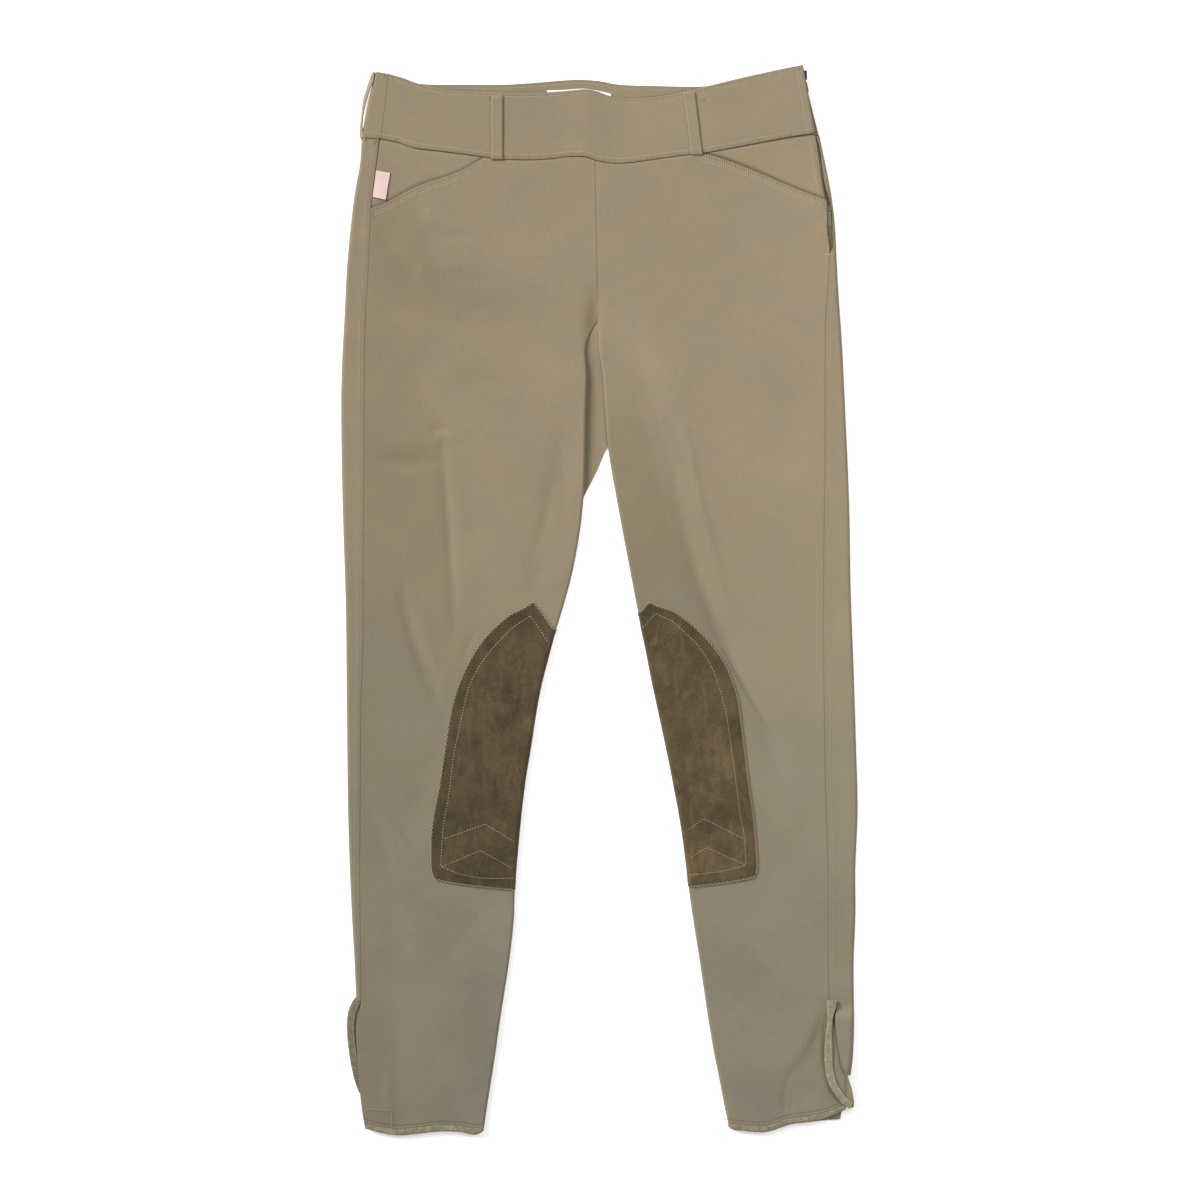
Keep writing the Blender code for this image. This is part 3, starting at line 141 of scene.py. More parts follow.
# Front waistband: lower edge x, y, upper edge x, y, and how far the band stands up there.
BAND_FRONT = (
    (-208.0, 437.9, -200.4, 499.7, 0.0), (-191.9, 434.6, -187.1, 495.9, 0.0),
    (-176.7, 429.4, -171.0, 490.2, 0.0), (-149.2, 426.1, -144.4, 484.5, 0.2),
    (-123.5, 422.6, -120.6, 483.2, 0.2), (-95.0, 418.9, -93.1, 481.9, 0.0),
    (-66.5, 418.0, -65.5, 481.8, -0.2), (-45.6, 419.1, -44.6, 482.6, -0.1),
    (-26.6, 421.3, -26.6, 483.9, 0.6), (-13.3, 420.8, -13.3, 485.0, 1.1),
    (-1.9, 417.0, -1.9, 482.8, 0.6), (10.4, 414.9, 10.4, 478.4, -0.1),
    (26.6, 415.1, 26.6, 476.4, -0.3), (52.2, 418.7, 50.3, 477.6, 0.0),
    (77.9, 422.1, 75.0, 481.8, 0.2), (104.5, 425.4, 99.8, 487.6, 0.2),
    (137.8, 431.7, 131.1, 495.2, 0.3), (175.8, 438.9, 166.2, 502.9, 0.8),
    (204.2, 443.2, 192.8, 508.2, 1.3),
)
BAND_LOWER_EDGE = [row[:2] for row in BAND_FRONT]
# Pocket openings and hems by side: x, y. A hem's line is the outside of its binding.
POCKETS = {
    -1: ((-217.5, 372.4), (-204.2, 377.1), (-190.0, 384.8), (-171.0, 394.2), (-142.5, 403.8),
         (-131.1, 408.5), (-111.1, 419.9)),
    1: ((97.5, 424.3), (108.3, 421.8), (116.4, 419.2), (135.4, 412.2), (152.0, 405.6),
        (190.0, 389.5), (214.4, 380.5)),
}
POCKET_END = {-1: POCKETS[-1][-1][0], 1: POCKETS[1][0][0]}
HEMS = {
    -1: ((-221.3, -502.9), (-208.0, -506.3), (-194.8, -508.6), (-173.8, -507.3), (-153.4, -505.0),
         (-133.0, -505.4), (-114.9, -507.1), (-110.2, -504.4)),
    1: ((121.6, -500.5), (126.3, -503.4), (133.0, -504.1), (165.3, -503.6), (170.0, -501.8),
        (180.5, -498.4), (203.3, -495.3), (214.0, -492.6), (226.0, -488.0), (234.0, -483.5)),
}

# Creases and soft ridges of the front: start, middle and end (x, y each), half width, height, how wide
# the flank on the left of its direction is against the other one, and how round its section is. The
# last two are left out where they are 1 and 2.
FOLDS = (
    ("belly", -10.0, 380.0, 10.0, 330.0, 0.0, 290.0, 90, 0.5),
    ("hip drag", -210.9, 359.1, -191.9, 330.6, -171.0, 299.2, 11, -0.6),
    ("hip line", -214.0, 353.0, -206.0, 343.5, -195.0, 336.5, 4, -0.35, 1.0, 1.5),
    ("pocket wrinkle", -161.0, 351.0, -142.0, 345.0, -124.0, 347.0, 5, -0.25),
    ("right hip hollow", -172.9, 308.8, -128.2, 286.9, -71.2, 256.5, 25, -0.9),
    ("hip fold", -156.0, 312.0, -132.0, 306.0, -98.0, 303.0, 7, -0.25),
    ("right thigh ridge", -180.5, 264.1, -114.0, 235.6, -69.3, 195.7, 15, 0.8),
    ("thigh hollow", -142.5, 195.7, -106.4, 203.3, -74.1, 185.2, 13, -0.7),
    ("side crease", -156.0, 130.5, -184.0, 127.0, -210.0, 132.5, 11, -0.55, 0.35, 1.5),
    ("side pucker", -158.5, 159.5, -150.5, 164.5, -142.0, 159.5, 4, -0.4, 1.0, 1.6),
    ("knee crease", -149.0, 152.0, -143.5, 72.0, -136.5, -28.0, 9, -0.6, 0.4, 1.3),
    ("knee ridge", -143.0, 150.0, -134.5, 80.0, -129.0, 0.0, 10, 0.3),
    ("knee ridge cap", -156.0, 149.0, -146.0, 157.5, -130.0, 151.0, 5, 0.35),
    ("inner thigh", -28.5, 175.8, -41.8, 104.5, -60.8, 9.5, 13, -0.7),
    ("inner thigh line", -43.0, 128.0, -52.0, 76.0, -70.0, 28.0, 5, -0.2),
    ("calf crease", -188.0, 18.0, -173.0, -46.0, -147.0, -108.0, 11, -0.85, 0.4, 1.3),
    ("calf ridge", -176.0, -10.0, -160.0, -48.0, -146.0, -92.0, 7, 0.5),
    ("calf line", -155.0, -53.0, -152.5, -63.0, -150.0, -75.0, 3, -0.3, 1.0, 1.5),
    ("patch pucker", -120.5, -32.0, -126.0, -45.0, -128.5, -58.0, 3, -0.35, 1.0, 1.5),
    ("lower calf", -180.5, -183.3, -168.2, -197.6, -157.7, -215.6, 11, -0.6),
    ("long calf", -226.0, -185.0, -206.0, -231.0, -198.0, -262.0, 11, -0.75, 0.5, 1.5),
    ("long calf end", -200.0, -300.0, -190.0, -318.0, -178.0, -332.0, 8, -0.4),
    ("below patch", -163.4, -283.1, -152.0, -298.3, -134.9, -309.7, 14, -0.6),
    ("shin ridge", -190.0, -330.0, -180.0, -400.0, -175.0, -470.0, 18, 0.4),
    ("hem ridge", -201.0, -448.0, -200.5, -470.0, -199.0, -492.0, 5, 0.3),
    ("thigh trough", 34.0, 212.0, 60.0, 97.0, 88.0, 15.0, 20, -0.95, 0.55, 1.7),
    ("thigh crease", 62.0, 84.0, 80.0, 34.0, 112.0, -33.0, 8, -0.6, 0.4, 1.2),
    ("beside patch", 104.0, -18.0, 128.0, -66.0, 158.0, -124.0, 7, -0.75, 0.45, 1.2),
    ("below patch line", 142.0, -92.0, 160.0, -128.0, 174.0, -165.0, 11, -0.4),
    ("upper thigh ridge", 36.0, 203.0, 60.0, 157.0, 86.0, 100.0, 7, 0.45, 1.0, 1.7),
    ("left thigh ridge", 38.0, 285.0, 85.5, 161.5, 128.2, 9.5, 17, 0.4),
    ("outer thigh ridge", 82.0, 162.0, 100.0, 88.0, 127.0, -8.0, 10, 0.45, 0.25, 1.3),
    ("left hip hollow", 71.2, 346.8, 118.8, 321.1, 171.0, 275.5, 27, -0.8),
    ("lower crease", 142.5, -182.4, 156.8, -201.4, 171.0, -224.2, 11, -0.6),
    ("knee side line", 139.0, -185.0, 150.0, -204.0, 162.0, -212.0, 5, -0.25, 1.0, 1.6),
    ("ankle hollow", 223.0, -388.0, 213.0, -428.0, 192.0, -466.0, 13, -0.55, 1.0, 4.0),
    ("ankle crease", 214.5, -386.0, 203.5, -415.0, 186.0, -446.0, 5, -0.45, 1.8, 1.4),
    ("ankle line", 192.0, -437.0, 178.0, -457.0, 174.5, -480.0, 4, -0.3, 1.4, 1.5),
    ("slit hollow", 224.0, -392.0, 228.0, -425.0, 229.0, -458.0, 14, -1.0),
    ("hem pleat", 176.0, -468.0, 175.5, -478.0, 176.5, -488.0, 3, -0.35, 1.0, 1.5),
    ("short hem pleat", 182.0, -476.0, 181.0, -483.0, 182.5, -490.0, 3, -0.3, 1.0, 1.5),
    ("crotch dip", -5.0, 290.0, -6.5, 262.0, -9.0, 236.0, 7, -0.9),
)
FOLD_STEPS = 13
FOLD_DEPTH = 2.0
# Slight unevenness of cloth that was worn and laid down: direction, wave length, height and phase.
RIPPLES = ((15, 91, 0.12, 0.3), (63, 73, 0.09, 1.9), (104, 113, 0.13, 4.0), (151, 47, 0.05, 2.6),
           (88, 29, 0.02, 5.1), (34, 23, 0.015, 0.8))
# Painted light and shade of the front's folds and tilts, as a tone. Steps: half width, then y, x of a line
# and how much darker the shade is painted on the wearer's right of it. Clouds: x, y, half width, half
# height, turn in degrees and change of tone.
TONE_STEPS = (
    ("left inner thigh", 5.0, (
        (275, 18, 0.0), (218.0, 40.0, 0.04), (180.5, 49.4, 0.085), (142.5, 64.6, 0.11),
        (104.5, 74.1, 0.13), (66.5, 83.6, 0.15), (28.5, 91.2, 0.17), (-9.5, 104.5, 0.15),
        (-47.5, 121.6, 0.12), (-85.5, 137.8, 0.09), (-123.5, 156.8, 0.06), (-180.0, 175.0, 0.0))),
    ("right side", 6.0, (
        (450, -150, 0.05), (370.5, -172.9, 0.06), (332.5, -161.5, 0.07), (294.0, -152.0, 0.04),
        (250.0, -160.0, 0.04), (218.5, -172.9, 0.05), (161.5, -153.0, 0.06), (133.0, -151.5, 0.09),
        (95.0, -149.0, 0.09), (57.0, -145.5, 0.08), (19.0, -141.5, 0.07), (-15.0, -139.5, 0.05),
        (-50.0, -138.0, 0.0))),
    ("right calf", 5.0, (
        (30, -195, 0.0), (-15, -181, 0.05), (-40, -177, 0.07), (-62, -163, 0.08), (-90, -155, 0.07),
        (-115, -147, 0.05), (-150, -160, 0.03), (-200, -180, 0.03), (-510, -190, 0.03))),
)
TONE_CLOUDS = (
    (-116.0, 283.0, 78, 28, -8, -0.085), (-104.0, 192.0, 30, 9, -8, -0.08),
    (-184.0, 141.0, 34, 7, 8, -0.07), (38.0, 237.0, 22, 62, 20, 0.05),
    (-60.0, 215.0, 60, 30, 20, 0.03), (-11.0, 268.0, 9, 30, 0, -0.09),
    (-97.0, -315.0, 18, 45, -12, 0.05), (-205.0, -440.0, 22, 60, 6, -0.07),
    (176.0, -470.0, 22, 26, 0, 0.03), (100.0, -20.0, 10, 40, 28, -0.06),
    (-150.0, -120.0, 9, 50, -14, -0.04), (212.0, -428.0, 11, 42, 26, -0.07),
    (-164.0, 370.5, 2.6, 2.6, 0, 0.13), (-163.2, 364.5, 2.4, 1.6, 0, 0.1),
    (-8.5, 215.0, 4, 40, 2, -0.12),
)
# Painted shade down in each crease, where the folded cloth lies in shade: start, middle and end (x, y
# each), half width, change of tone, flank and roundness, as for the folds.
CREASE_SHADES = (
    ("knee crease", -153.0, 148.0, -147.0, 72.0, -140.5, -30.0, 3.6, -0.15, 0.8, 1.6),
    ("side crease", -156.0, 136.5, -182.0, 136.0, -206.0, 138.5, 5.0, -0.06),
    ("side pucker", -161.0, 158.0, -151.0, 164.0, -141.0, 161.0, 2.0, -0.06),
    ("calf crease", -194.0, 14.0, -180.0, -44.0, -154.0, -106.0, 3.0, -0.1),
    ("inner thigh", -43.0, 142.0, -38.0, 100.0, -45.0, 50.0, 5.0, -0.05),
    ("inner thigh line", -74.0, 42.0, -70.0, 26.0, -67.0, 8.0, 2.0, -0.06),
    ("thigh crease", 64.0, 112.0, 82.0, 38.0, 121.0, -50.0, 4.4, -0.14),
    ("outer thigh crease", 84.0, 165.0, 100.0, 82.0, 124.0, -6.0, 2.4, -0.11),
    ("beside patch", 114.0, -42.0, 132.0, -76.0, 160.0, -124.0, 2.1, -0.26),
    ("upper thigh", 40.0, 200.0, 52.0, 172.0, 66.0, 128.0, 4.0, -0.05),
    ("calf folds", -204.0, -196.0, -188.0, -222.0, -172.0, -246.0, 2.4, -0.06),
    ("below patch", -158.0, -291.0, -148.0, -302.0, -134.0, -309.0, 3.0, -0.04),
    ("lower crease", 143.0, -184.0, 155.0, -202.0, 170.0, -224.0, 2.4, -0.06),
    ("ankle crease", 219.0, -388.0, 204.0, -416.0, 184.0, -450.0, 3.4, -0.12),
    ("slit shade", 214.2, -394.0, 211.6, -424.0, 213.8, -455.0, 1.6, -0.45),
    ("slit shade", 213.2, -452.0, 219.0, -466.5, 231.0, -479.5, 1.6, -0.45),
    ("crotch", -6.5, 288.0, -7.0, 262.0, -9.5, 232.0, 4.0, -0.2),
)


def smooth(table, at):
    """Cubic Hermite curve of every column of a table over its first column."""
    table = np.asarray(table, float)
    if table[0, 0] > table[-1, 0]:
        table = table[::-1]
    key = table[:, 0]
    slope = np.gradient(table, key, axis=0)
    at = np.clip(np.asarray(at, float), key[0], key[-1])
    low = np.clip(np.searchsorted(key, at, side="right") - 1, 0, len(key) - 2)
    span = key[low + 1] - key[low]
    t = ((at - key[low]) / span)[..., None]
    span = span[..., None]
    start, end = table[low], table[low + 1]
    value = ((2 * t**3 - 3 * t**2 + 1) * start + (t**3 - 2 * t**2 + t) * span * slope[low]
             + (3 * t**2 - 2 * t**3) * end + (t**3 - t**2) * span * slope[low + 1])
    return value[..., 1:]


def line_through(table, at):
    """One value for each place along a table of two columns."""
    return smooth(table, at)[..., 0]


def ease(value, start, end):
    """0 before start, 1 after end, and 3t^2 - 2t^3 between."""
    t = np.clip((np.asarray(value, float) - start) / (end - start), 0, 1)
    return t * t * (3 - 2 * t)


def curve_through(table, at):
    """Smooth curve through the rows of a table, at places counted in rows."""
    return smooth(np.column_stack((np.arange(len(table)), table)), at)


def between(first, last, t):
    """From the first value to the last one: first (1 - t) + last t."""
    return first * (1 - t) + last * t


def bell(value, width):
    """1 in the middle, falling on both sides as exp(-(value / width)^2)."""
    return np.exp(-(value / width)**2)


def crowded(t, share):
    """t with its steps closer together at 0 and 1: t - share sin(2 pi t) / (2 pi)."""
    return t - share * np.sin(2 * np.pi * t) / (2 * np.pi)


def packed(t, power):
    """t with its steps closer together at 1: 1 - (1 - t)^power."""
    return 1 - (1 - t)**power


def unit(vectors):
    """Vectors of length 1 in the same directions."""
    return vectors / np.linalg.norm(vectors, axis=-1, keepdims=True)


def fold_height(x, y, x0, y0, x1, y1, x2, y2, width, height, flank=1.0, power=2.0):
    """Height times a bell of the distance from a bent line, lower towards its two ends.

    The bell is exp(-(distance / width)^power), and the width is times the flank on the left side.
    """
    t = np.linspace(0, 1, FOLD_STEPS)
    line_x, line_y = [(1 - t)**2 * start + t * (1 - t) * (4 * middle - start - end) + t**2 * end
                      for start, middle, end in ((x0, x1, x2), (y0, y1, y2))]
    step_x, step_y = np.diff(line_x), np.diff(line_y)
    away_x = x[..., None] - line_x[:-1]
    away_y = y[..., None] - line_y[:-1]
    part = np.clip((away_x * step_x + away_y * step_y) / (step_x**2 + step_y**2), 0, 1)
    distance = np.hypot(away_x - part * step_x, away_y - part * step_y)
    nearest = distance.argmin(axis=-1)[..., None]
    along = (nearest + np.take_along_axis(part, nearest, -1))[..., 0] / (FOLD_STEPS - 1)
    turn = (step_x * away_y - step_y * away_x) / np.hypot(step_x, step_y)
    distance = np.take_along_axis(distance, nearest, -1)[..., 0]
    lean = np.take_along_axis(turn, nearest, -1)[..., 0] / np.maximum(distance, 1e-6)
    reach = width * ((1 + flank) / 2 - (1 - flank) / 2 * lean)
    return height * (0.3 + 0.7 * np.sin(np.pi * along)) * np.exp(-(distance / reach)**power)


def ripple(x, y):
    """Sum of low sine waves in several directions, each bent a little by the one before it."""
    total, bend = 0.0, 0.0
    for direction, length, height, phase in RIPPLES:
        turn = math.radians(direction)
        wave = np.sin(2 * np.pi * (x * math.cos(turn) + y * math.sin(turn)) / length + phase + bend)
        bend = 0.9 * wave
        total = total + height * wave
    return total


def painted_shade_tone(x, y):
    """Painted light and shade: 1, less each step's depth on its dark side, times 1 plus each cloud's and
    crease's soft bell.
    """
    tone = np.ones_like(x)
    for _, width, table in TONE_STEPS:
        edge, depth = np.moveaxis(smooth(table, y), -1, 0)
        tone = tone * (1 - depth * (1 - ease(x - edge, -width, width)) * (x * edge > 0))
    for cloud_x, cloud_y, half_x, half_y, turn, change in TONE_CLOUDS:
        turn = math.radians(turn)
        along = (x - cloud_x) * math.cos(turn) + (y - cloud_y) * math.sin(turn)
        across = (y - cloud_y) * math.cos(turn) - (x - cloud_x) * math.sin(turn)
        tone = tone * (1 + change * bell(along, half_x) * bell(across, half_y))
    for crease in CREASE_SHADES:
        tone = tone * (1 + fold_height(x, y, *crease[1:]))
    return tone


def cloth_top(x, y):
    """Height of the front cloth: legs, fuller hips, every fold, and the unevenness between them."""
    x, y = np.broadcast_arrays(np.asarray(x, float), np.asarray(y, float))
    height = between(LEG_TOP, HIP_TOP, ease(y, HIP_FROM, HIP_TO))
    for fold in FOLDS:
        height = height + FOLD_DEPTH * fold_height(x, y, *fold[1:])
    return height + ripple(x, y)


def points(x, y, z):
    """A grid of points from their coordinates."""
    return np.stack(np.broadcast_arrays(x, y, z), axis=-1).astype(float)


def normals(grid, flip):
    """Unit normal at each point: the cross product of the grid's two directions."""
    normal = unit(np.cross(np.gradient(grid, axis=1), np.gradient(grid, axis=0)))
    return -normal if flip else normal


def edge_distances(grid):
    """Length along the grid from its first row, last row, first column and last column."""
    found = []
    for axis in (0, 1):
        step = np.linalg.norm(np.diff(grid, axis=axis), axis=-1)
        total = np.cumsum(step, axis=axis)
        pad = [(0, 0), (0, 0)]
        pad[axis] = (1, 0)
        length = np.pad(total, pad)
        found += [length, np.take(length, [-1], axis=axis) - length]
    return found


def seam_roll(distance, drop=0.55, reach=1.1):
    """Drop of a panel that rolls down into its seam: a bell of the distance from the edge."""
    return -drop * bell(distance, reach)


def allowance(distance, along, width=9.0, height=0.3):
    """Raised strip over turned-in cloth beside an edge, puckered along its stitching."""
    strip = height * (1 - ease(distance, width * 0.8, width * 1.35))
    pucker = np.sin(2 * np.pi * along / 11.0) + 0.7 * np.sin(2 * np.pi * along / 6.7 + 1.3)
    return strip + 0.07 * pucker * bell(distance - 4.0, 4.5)


def add_object(name, place, faces, material):
    """A smooth-shaded mesh object of points in millimetres, in the scene."""
    mesh = bpy.data.meshes.new(name)
    mesh.from_pydata((place * MM).tolist(), [], faces)
    mesh.shade_smooth()
    mesh.materials.append(material)
    item = bpy.data.objects.new(name, mesh)
    bpy.context.scene.collection.objects.link(item)
    return item


def shell(name, grid, wall, material, flip=False, keep=None, sewn=0.0, tone=1.0):
    """Closed cloth wall: the grid, the same grid moved in along its normals, and a rim between.

    Its point attributes are "cut", where a point lies on the flat cloth, with its tone, mostly painted
    light and shade, and
    "seam", the way along the nearest edge, the distance from it, and how strongly stitches pull there.
    """
    rows, columns = grid.shape[:2]
    count = rows * columns
    index = np.arange(count).reshape(rows, columns)
    cells = np.stack((index[:-1, :-1], index[:-1, 1:], index[1:, 1:], index[1:, :-1]), axis=-1)
    cells = cells.reshape(-1, 4) if keep is None else cells[keep]
    if flip:
        cells = cells[:, ::-1]
    start, end = cells.reshape(-1), np.roll(cells, -1, axis=1).reshape(-1)
    rim = ~np.isin(start * count + end, end * count + start)
    start, end = start[rim], end[rim]
    faces = np.concatenate((cells, cells[:, ::-1] + count,
                            np.stack((end, start, start + count, end + count), axis=1)))
    inner = grid - normals(grid, flip) * wall
    place = np.concatenate((grid.reshape(-1, 3), inner.reshape(-1, 3)))
    place[:, 2] = np.maximum(place[:, 2], 0)
    top, bottom, first, last = edge_distances(grid)
    cut = points(grid[0, 0, 0] + first, grid[0, 0, 1] - top, tone)
    ends, sides = np.minimum(top, bottom), np.minimum(first, last)
    seam = points(np.where(ends < sides, first, top), np.minimum(ends, sides), sewn)
    used, faces = np.unique(faces, return_inverse=True)
    item = add_object(name, place[used], faces.reshape(-1, 4).tolist(), material)
    for label, values in (("cut", cut), ("seam", seam)):
        values = np.tile(values.reshape(-1, 3), (2, 1))[used] * (MM, MM, 1.0)
        attribute = item.data.attributes.new(label, "FLOAT_VECTOR", "POINT")
        attribute.data.foreach_set("vector", values.astype(np.float32).ravel())
    item.data.set_sharp_from_angle(angle=SHARP_EDGE)
    return item


def linear(code):
    """Linear colour of an sRGB hex value."""
    channels = [int(code[i:i + 2], 16) / 255 for i in (1, 3, 5)]
    return (*[c / 12.92 if c <= 0.04045 else ((c + 0.055) / 1.055)**2.4 for c in channels], 1.0)


def add_node(tree, kind, values=()):
    """Adds a node. Each value sets a socket or property, by name or number, or is what feeds it."""
    node = tree.nodes.new("ShaderNode" + kind)
    for key, value in dict(values).items():
        if isinstance(value, bpy.types.NodeSocket):
            tree.links.new(value, node.inputs[key])
        elif isinstance(key, int) or key in node.inputs:
            node.inputs[key].default_value = value
        else:
            setattr(node, key, value)
    return node


def new_surface(name, settings):
    """A material with its Principled shader set, and its node tree."""
    material = bpy.data.materials.new(name)
    material.use_nodes = True
    tree = material.node_tree
    shader = tree.nodes["Principled BSDF"]
    for key, value in settings.items():
        shader.inputs[key].default_value = value
    return material, tree, shader


def maths(tree, operation, *values):
    """Result of a Math node on one to three values."""
    return add_node(tree, "Math", {"operation": operation, **dict(enumerate(values))}).outputs[0]


def ribs(tree, along, pitch):
    """Sine wave along a length in metres, with a pitch in millimetres."""
    return maths(tree, "SINE", maths(tree, "MULTIPLY", along, 2 * math.pi / (pitch * MM)))


def ramp(tree, value, start, end, low=0.0, high=1.0, way="LINEAR"):
    """Carries a value from start and end over to low and high, and holds it beyond them."""
    return add_node(tree, "MapRange", {
        "interpolation_type": way, "From Min": start, "From Max": end, "To Min": low, "To Max": high,
        "Value": value}).outputs["Result"]


def noise(tree, where, scale, detail=2.0, roughness=0.5, distortion=0.0):
    """Value of a noise at a place."""
    return add_node(tree, "TexNoise", {
        "Scale": scale, "Detail": detail, "Roughness": roughness, "Distortion": distortion,
        "Vector": where}).outputs["Fac"]


def blend(tree, share, first, second, way="MIX"):
    """Mixes two colours; with MULTIPLY it darkens the first one by the second."""
    return add_node(tree, "Mix", {
        "data_type": "RGBA", "blend_type": way, 0: share, 6: first, 7: second}).outputs[2]


def bump(tree, height, strength, distance, below=()):
    """Normal of a fine relief, over the normal of a coarser one if there is one."""
    return add_node(tree, "Bump", {
        "Strength": strength, "Distance": distance, "Height": height, **dict(below)}).outputs["Normal"]


def stretched(tree, where, scale, turn=0.0):
    """Place scaled along each axis and turned about z."""
    return add_node(tree, "Mapping", {
        "Scale": scale, "Rotation": (0.0, 0.0, turn), "Vector": where}).outputs["Vector"]


def attribute_parts(tree, name):
    """A point attribute's vector, and the sockets of its three parts."""
    vector = add_node(tree, "Attribute", {"attribute_name": name}).outputs["Vector"]
    return vector, add_node(tree, "SeparateXYZ", {0: vector}).outputs


def twill(name, warm, cool, faded, grey):
    """Stretch cotton twill, piece-dyed and washed: matt, with a steep diagonal rib and a soft bloom.

    The real rib is about 0.6 mm apart. It is drawn at 1.3 mm, and fainter, so that it can show.
    """
    material, tree, shader = new_surface(name, {
        "Roughness": 0.82, "Sheen Weight": 0.2, "Sheen Roughness": 0.45, "Specular IOR Level": 0.25})
    # The cut attribute's third part is the point's tone, mostly painted light and shade.
    cut, painted_tone = attribute_parts(tree, "cut")
    _, seam = attribute_parts(tree, "seam")
    here = add_node(tree, "TexCoord").outputs["Object"]
    place = add_node(tree, "SeparateXYZ", {0: here}).outputs

    # The dye is warmer towards the waist. It has faded in clouds, with greyer patches between them.
    upper = ramp(tree, place["Y"], -0.42, 0.22, way="SMOOTHSTEP")
    color = blend(tree, upper, linear(cool), linear(warm))
    cloud = noise(tree, here, 6.0, detail=2.5, roughness=0.45, distortion=0.5)
    color = blend(tree, ramp(tree, cloud, 0.42, 0.7, high=0.35), color, linear(faded))
    haze = noise(tree, here, 21.0, detail=3.0, distortion=0.3)
    color = blend(tree, ramp(tree, haze, 0.42, 0.66, high=0.7), color, linear(grey))

    # Slubs: yarns that are a little thicker or darker for a centimetre or so.
    weave = add_node(tree, "VectorMath", {"operation": "MULTIPLY", 0: cut, 1: (1.0, 1.0, 0.0)}).outputs[0]
    slub = noise(tree, stretched(tree, weave, (620.0, 95.0, 0.0)), 1.0, roughness=0.6)
    fleck = noise(tree, weave, 900.0, detail=1.0)
    grain = maths(tree, "MULTIPLY_ADD", fleck, 0.45, slub)

    # Stitches draw the cloth into small ribs between their row and the edge.
    row_in = ramp(tree, seam["Y"], 0.0005, 0.0014)
    row_out = ramp(tree, seam["Y"], 0.0042, 0.0052, 1.0, 0.0)
    pull = maths(tree, "MULTIPLY", maths(tree, "MULTIPLY", row_in, row_out), seam["Z"])
    drawn = maths(tree, "MULTIPLY", ribs(tree, seam["X"], PUCKER_PITCH), pull)

    # Painted shade darkens the seams' grooves.
    groove = ramp(tree, seam["Y"], 0.0, 0.0008, 0.72)
    tone = ramp(tree, grain, 0.45, 1.0, 0.95, 1.04)
    # Painted light: the cloth is lighter towards the wearer's left and darker towards the right.
    across = ramp(tree, place["X"], -0.24, 0.24, 0.95, 1.05)
    # The stitch puckers' ribs are painted lighter and darker, as painted light and shade, besides their
    # bump.
    for other in (groove, maths(tree, "MULTIPLY_ADD", drawn, 0.06, 1.0), across, painted_tone["Z"]):
        tone = maths(tree, "MULTIPLY", tone, other)
    tree.links.new(blend(tree, 1.0, color, tone, "MULTIPLY"), shader.inputs["Base Color"])

    slant = add_node(tree, "VectorMath", {"operation": "DOT_PRODUCT", 0: cut, 1: (0.88, 0.47, 0.0)})
    rib = ribs(tree, slant.outputs["Value"], TWILL_SPACING)
    woven = bump(tree, maths(tree, "MULTIPLY_ADD", rib, 0.35, grain), 0.5, 0.00012)
    puckered = bump(tree, drawn, 0.8, 0.00026, {"Normal": woven})
    crumple = noise(tree, here, 44.0, distortion=0.5)
    soft = bump(tree, crumple, 0.5, 0.0006, {"Normal": puckered})
    tree.links.new(soft, shader.inputs["Normal"])
    return material


KHAKI_TWILL = twill("khaki stretch twill", "#7F725A", "#6F695A", "#877C61", "#796F61")


def patch_ends(table):
    """First and last row of a section table on which the knee patch lies."""
    return np.flatnonzero(table[:, -1])[[0, -1]]


def rows_at(table, number):
    """The section table's columns by name at fractional row numbers, with how far the panel's inner
    edge is set in under the patch and how far a row belongs to the hem."""
    on = patch_ends(table)
    values = curve_through(table, number)
    rows = {name: values[:, column, None] for column, name in enumerate(SECTION_COLUMNS)}
    number = number[:, None]
    rows["section"] = number
    rows["patch"] = np.clip(rows["patch"], 0, 1)
    under = ease(number, on[0] - 0.15, on[0] + 0.25) * (1 - ease(number, on[1] - 0.25, on[1] + 0.1))
    rows["inset"] = PATCH_UNDER * under
    rows["hem"] = ease(number, len(table) - 2.2, len(table) - 1.9)
    return rows


def front_edge(side, x):
    """Upper edge of a front: the pocket opening, then the waistband seam."""
    seam = line_through(BAND_LOWER_EDGE, x) - EDGE_GAP
    opening = line_through(POCKETS[side], x)
    return np.where(side * (x - POCKET_END[side]) > 0, np.minimum(opening, seam), seam)


# Grooves along the hem, at the binding's edge and at the seam above it, and how much painted shade darkens
# them.
HEM_GROOVES, GROOVE_SHADE = (5.1, 8.2), 0.25
SIDE_COLUMNS, PATCH_COLUMNS, TURN_COLUMNS = 64, 39, 7
FRONT_ROWS = 425
# The inner edge turns its quarter circle in the first columns and goes straight down in the rest.
TURN_SPEED = 1.6
# Drop and reach of a seam that is pressed flat.
FLAT_SEAM = (0.12, 0.7)


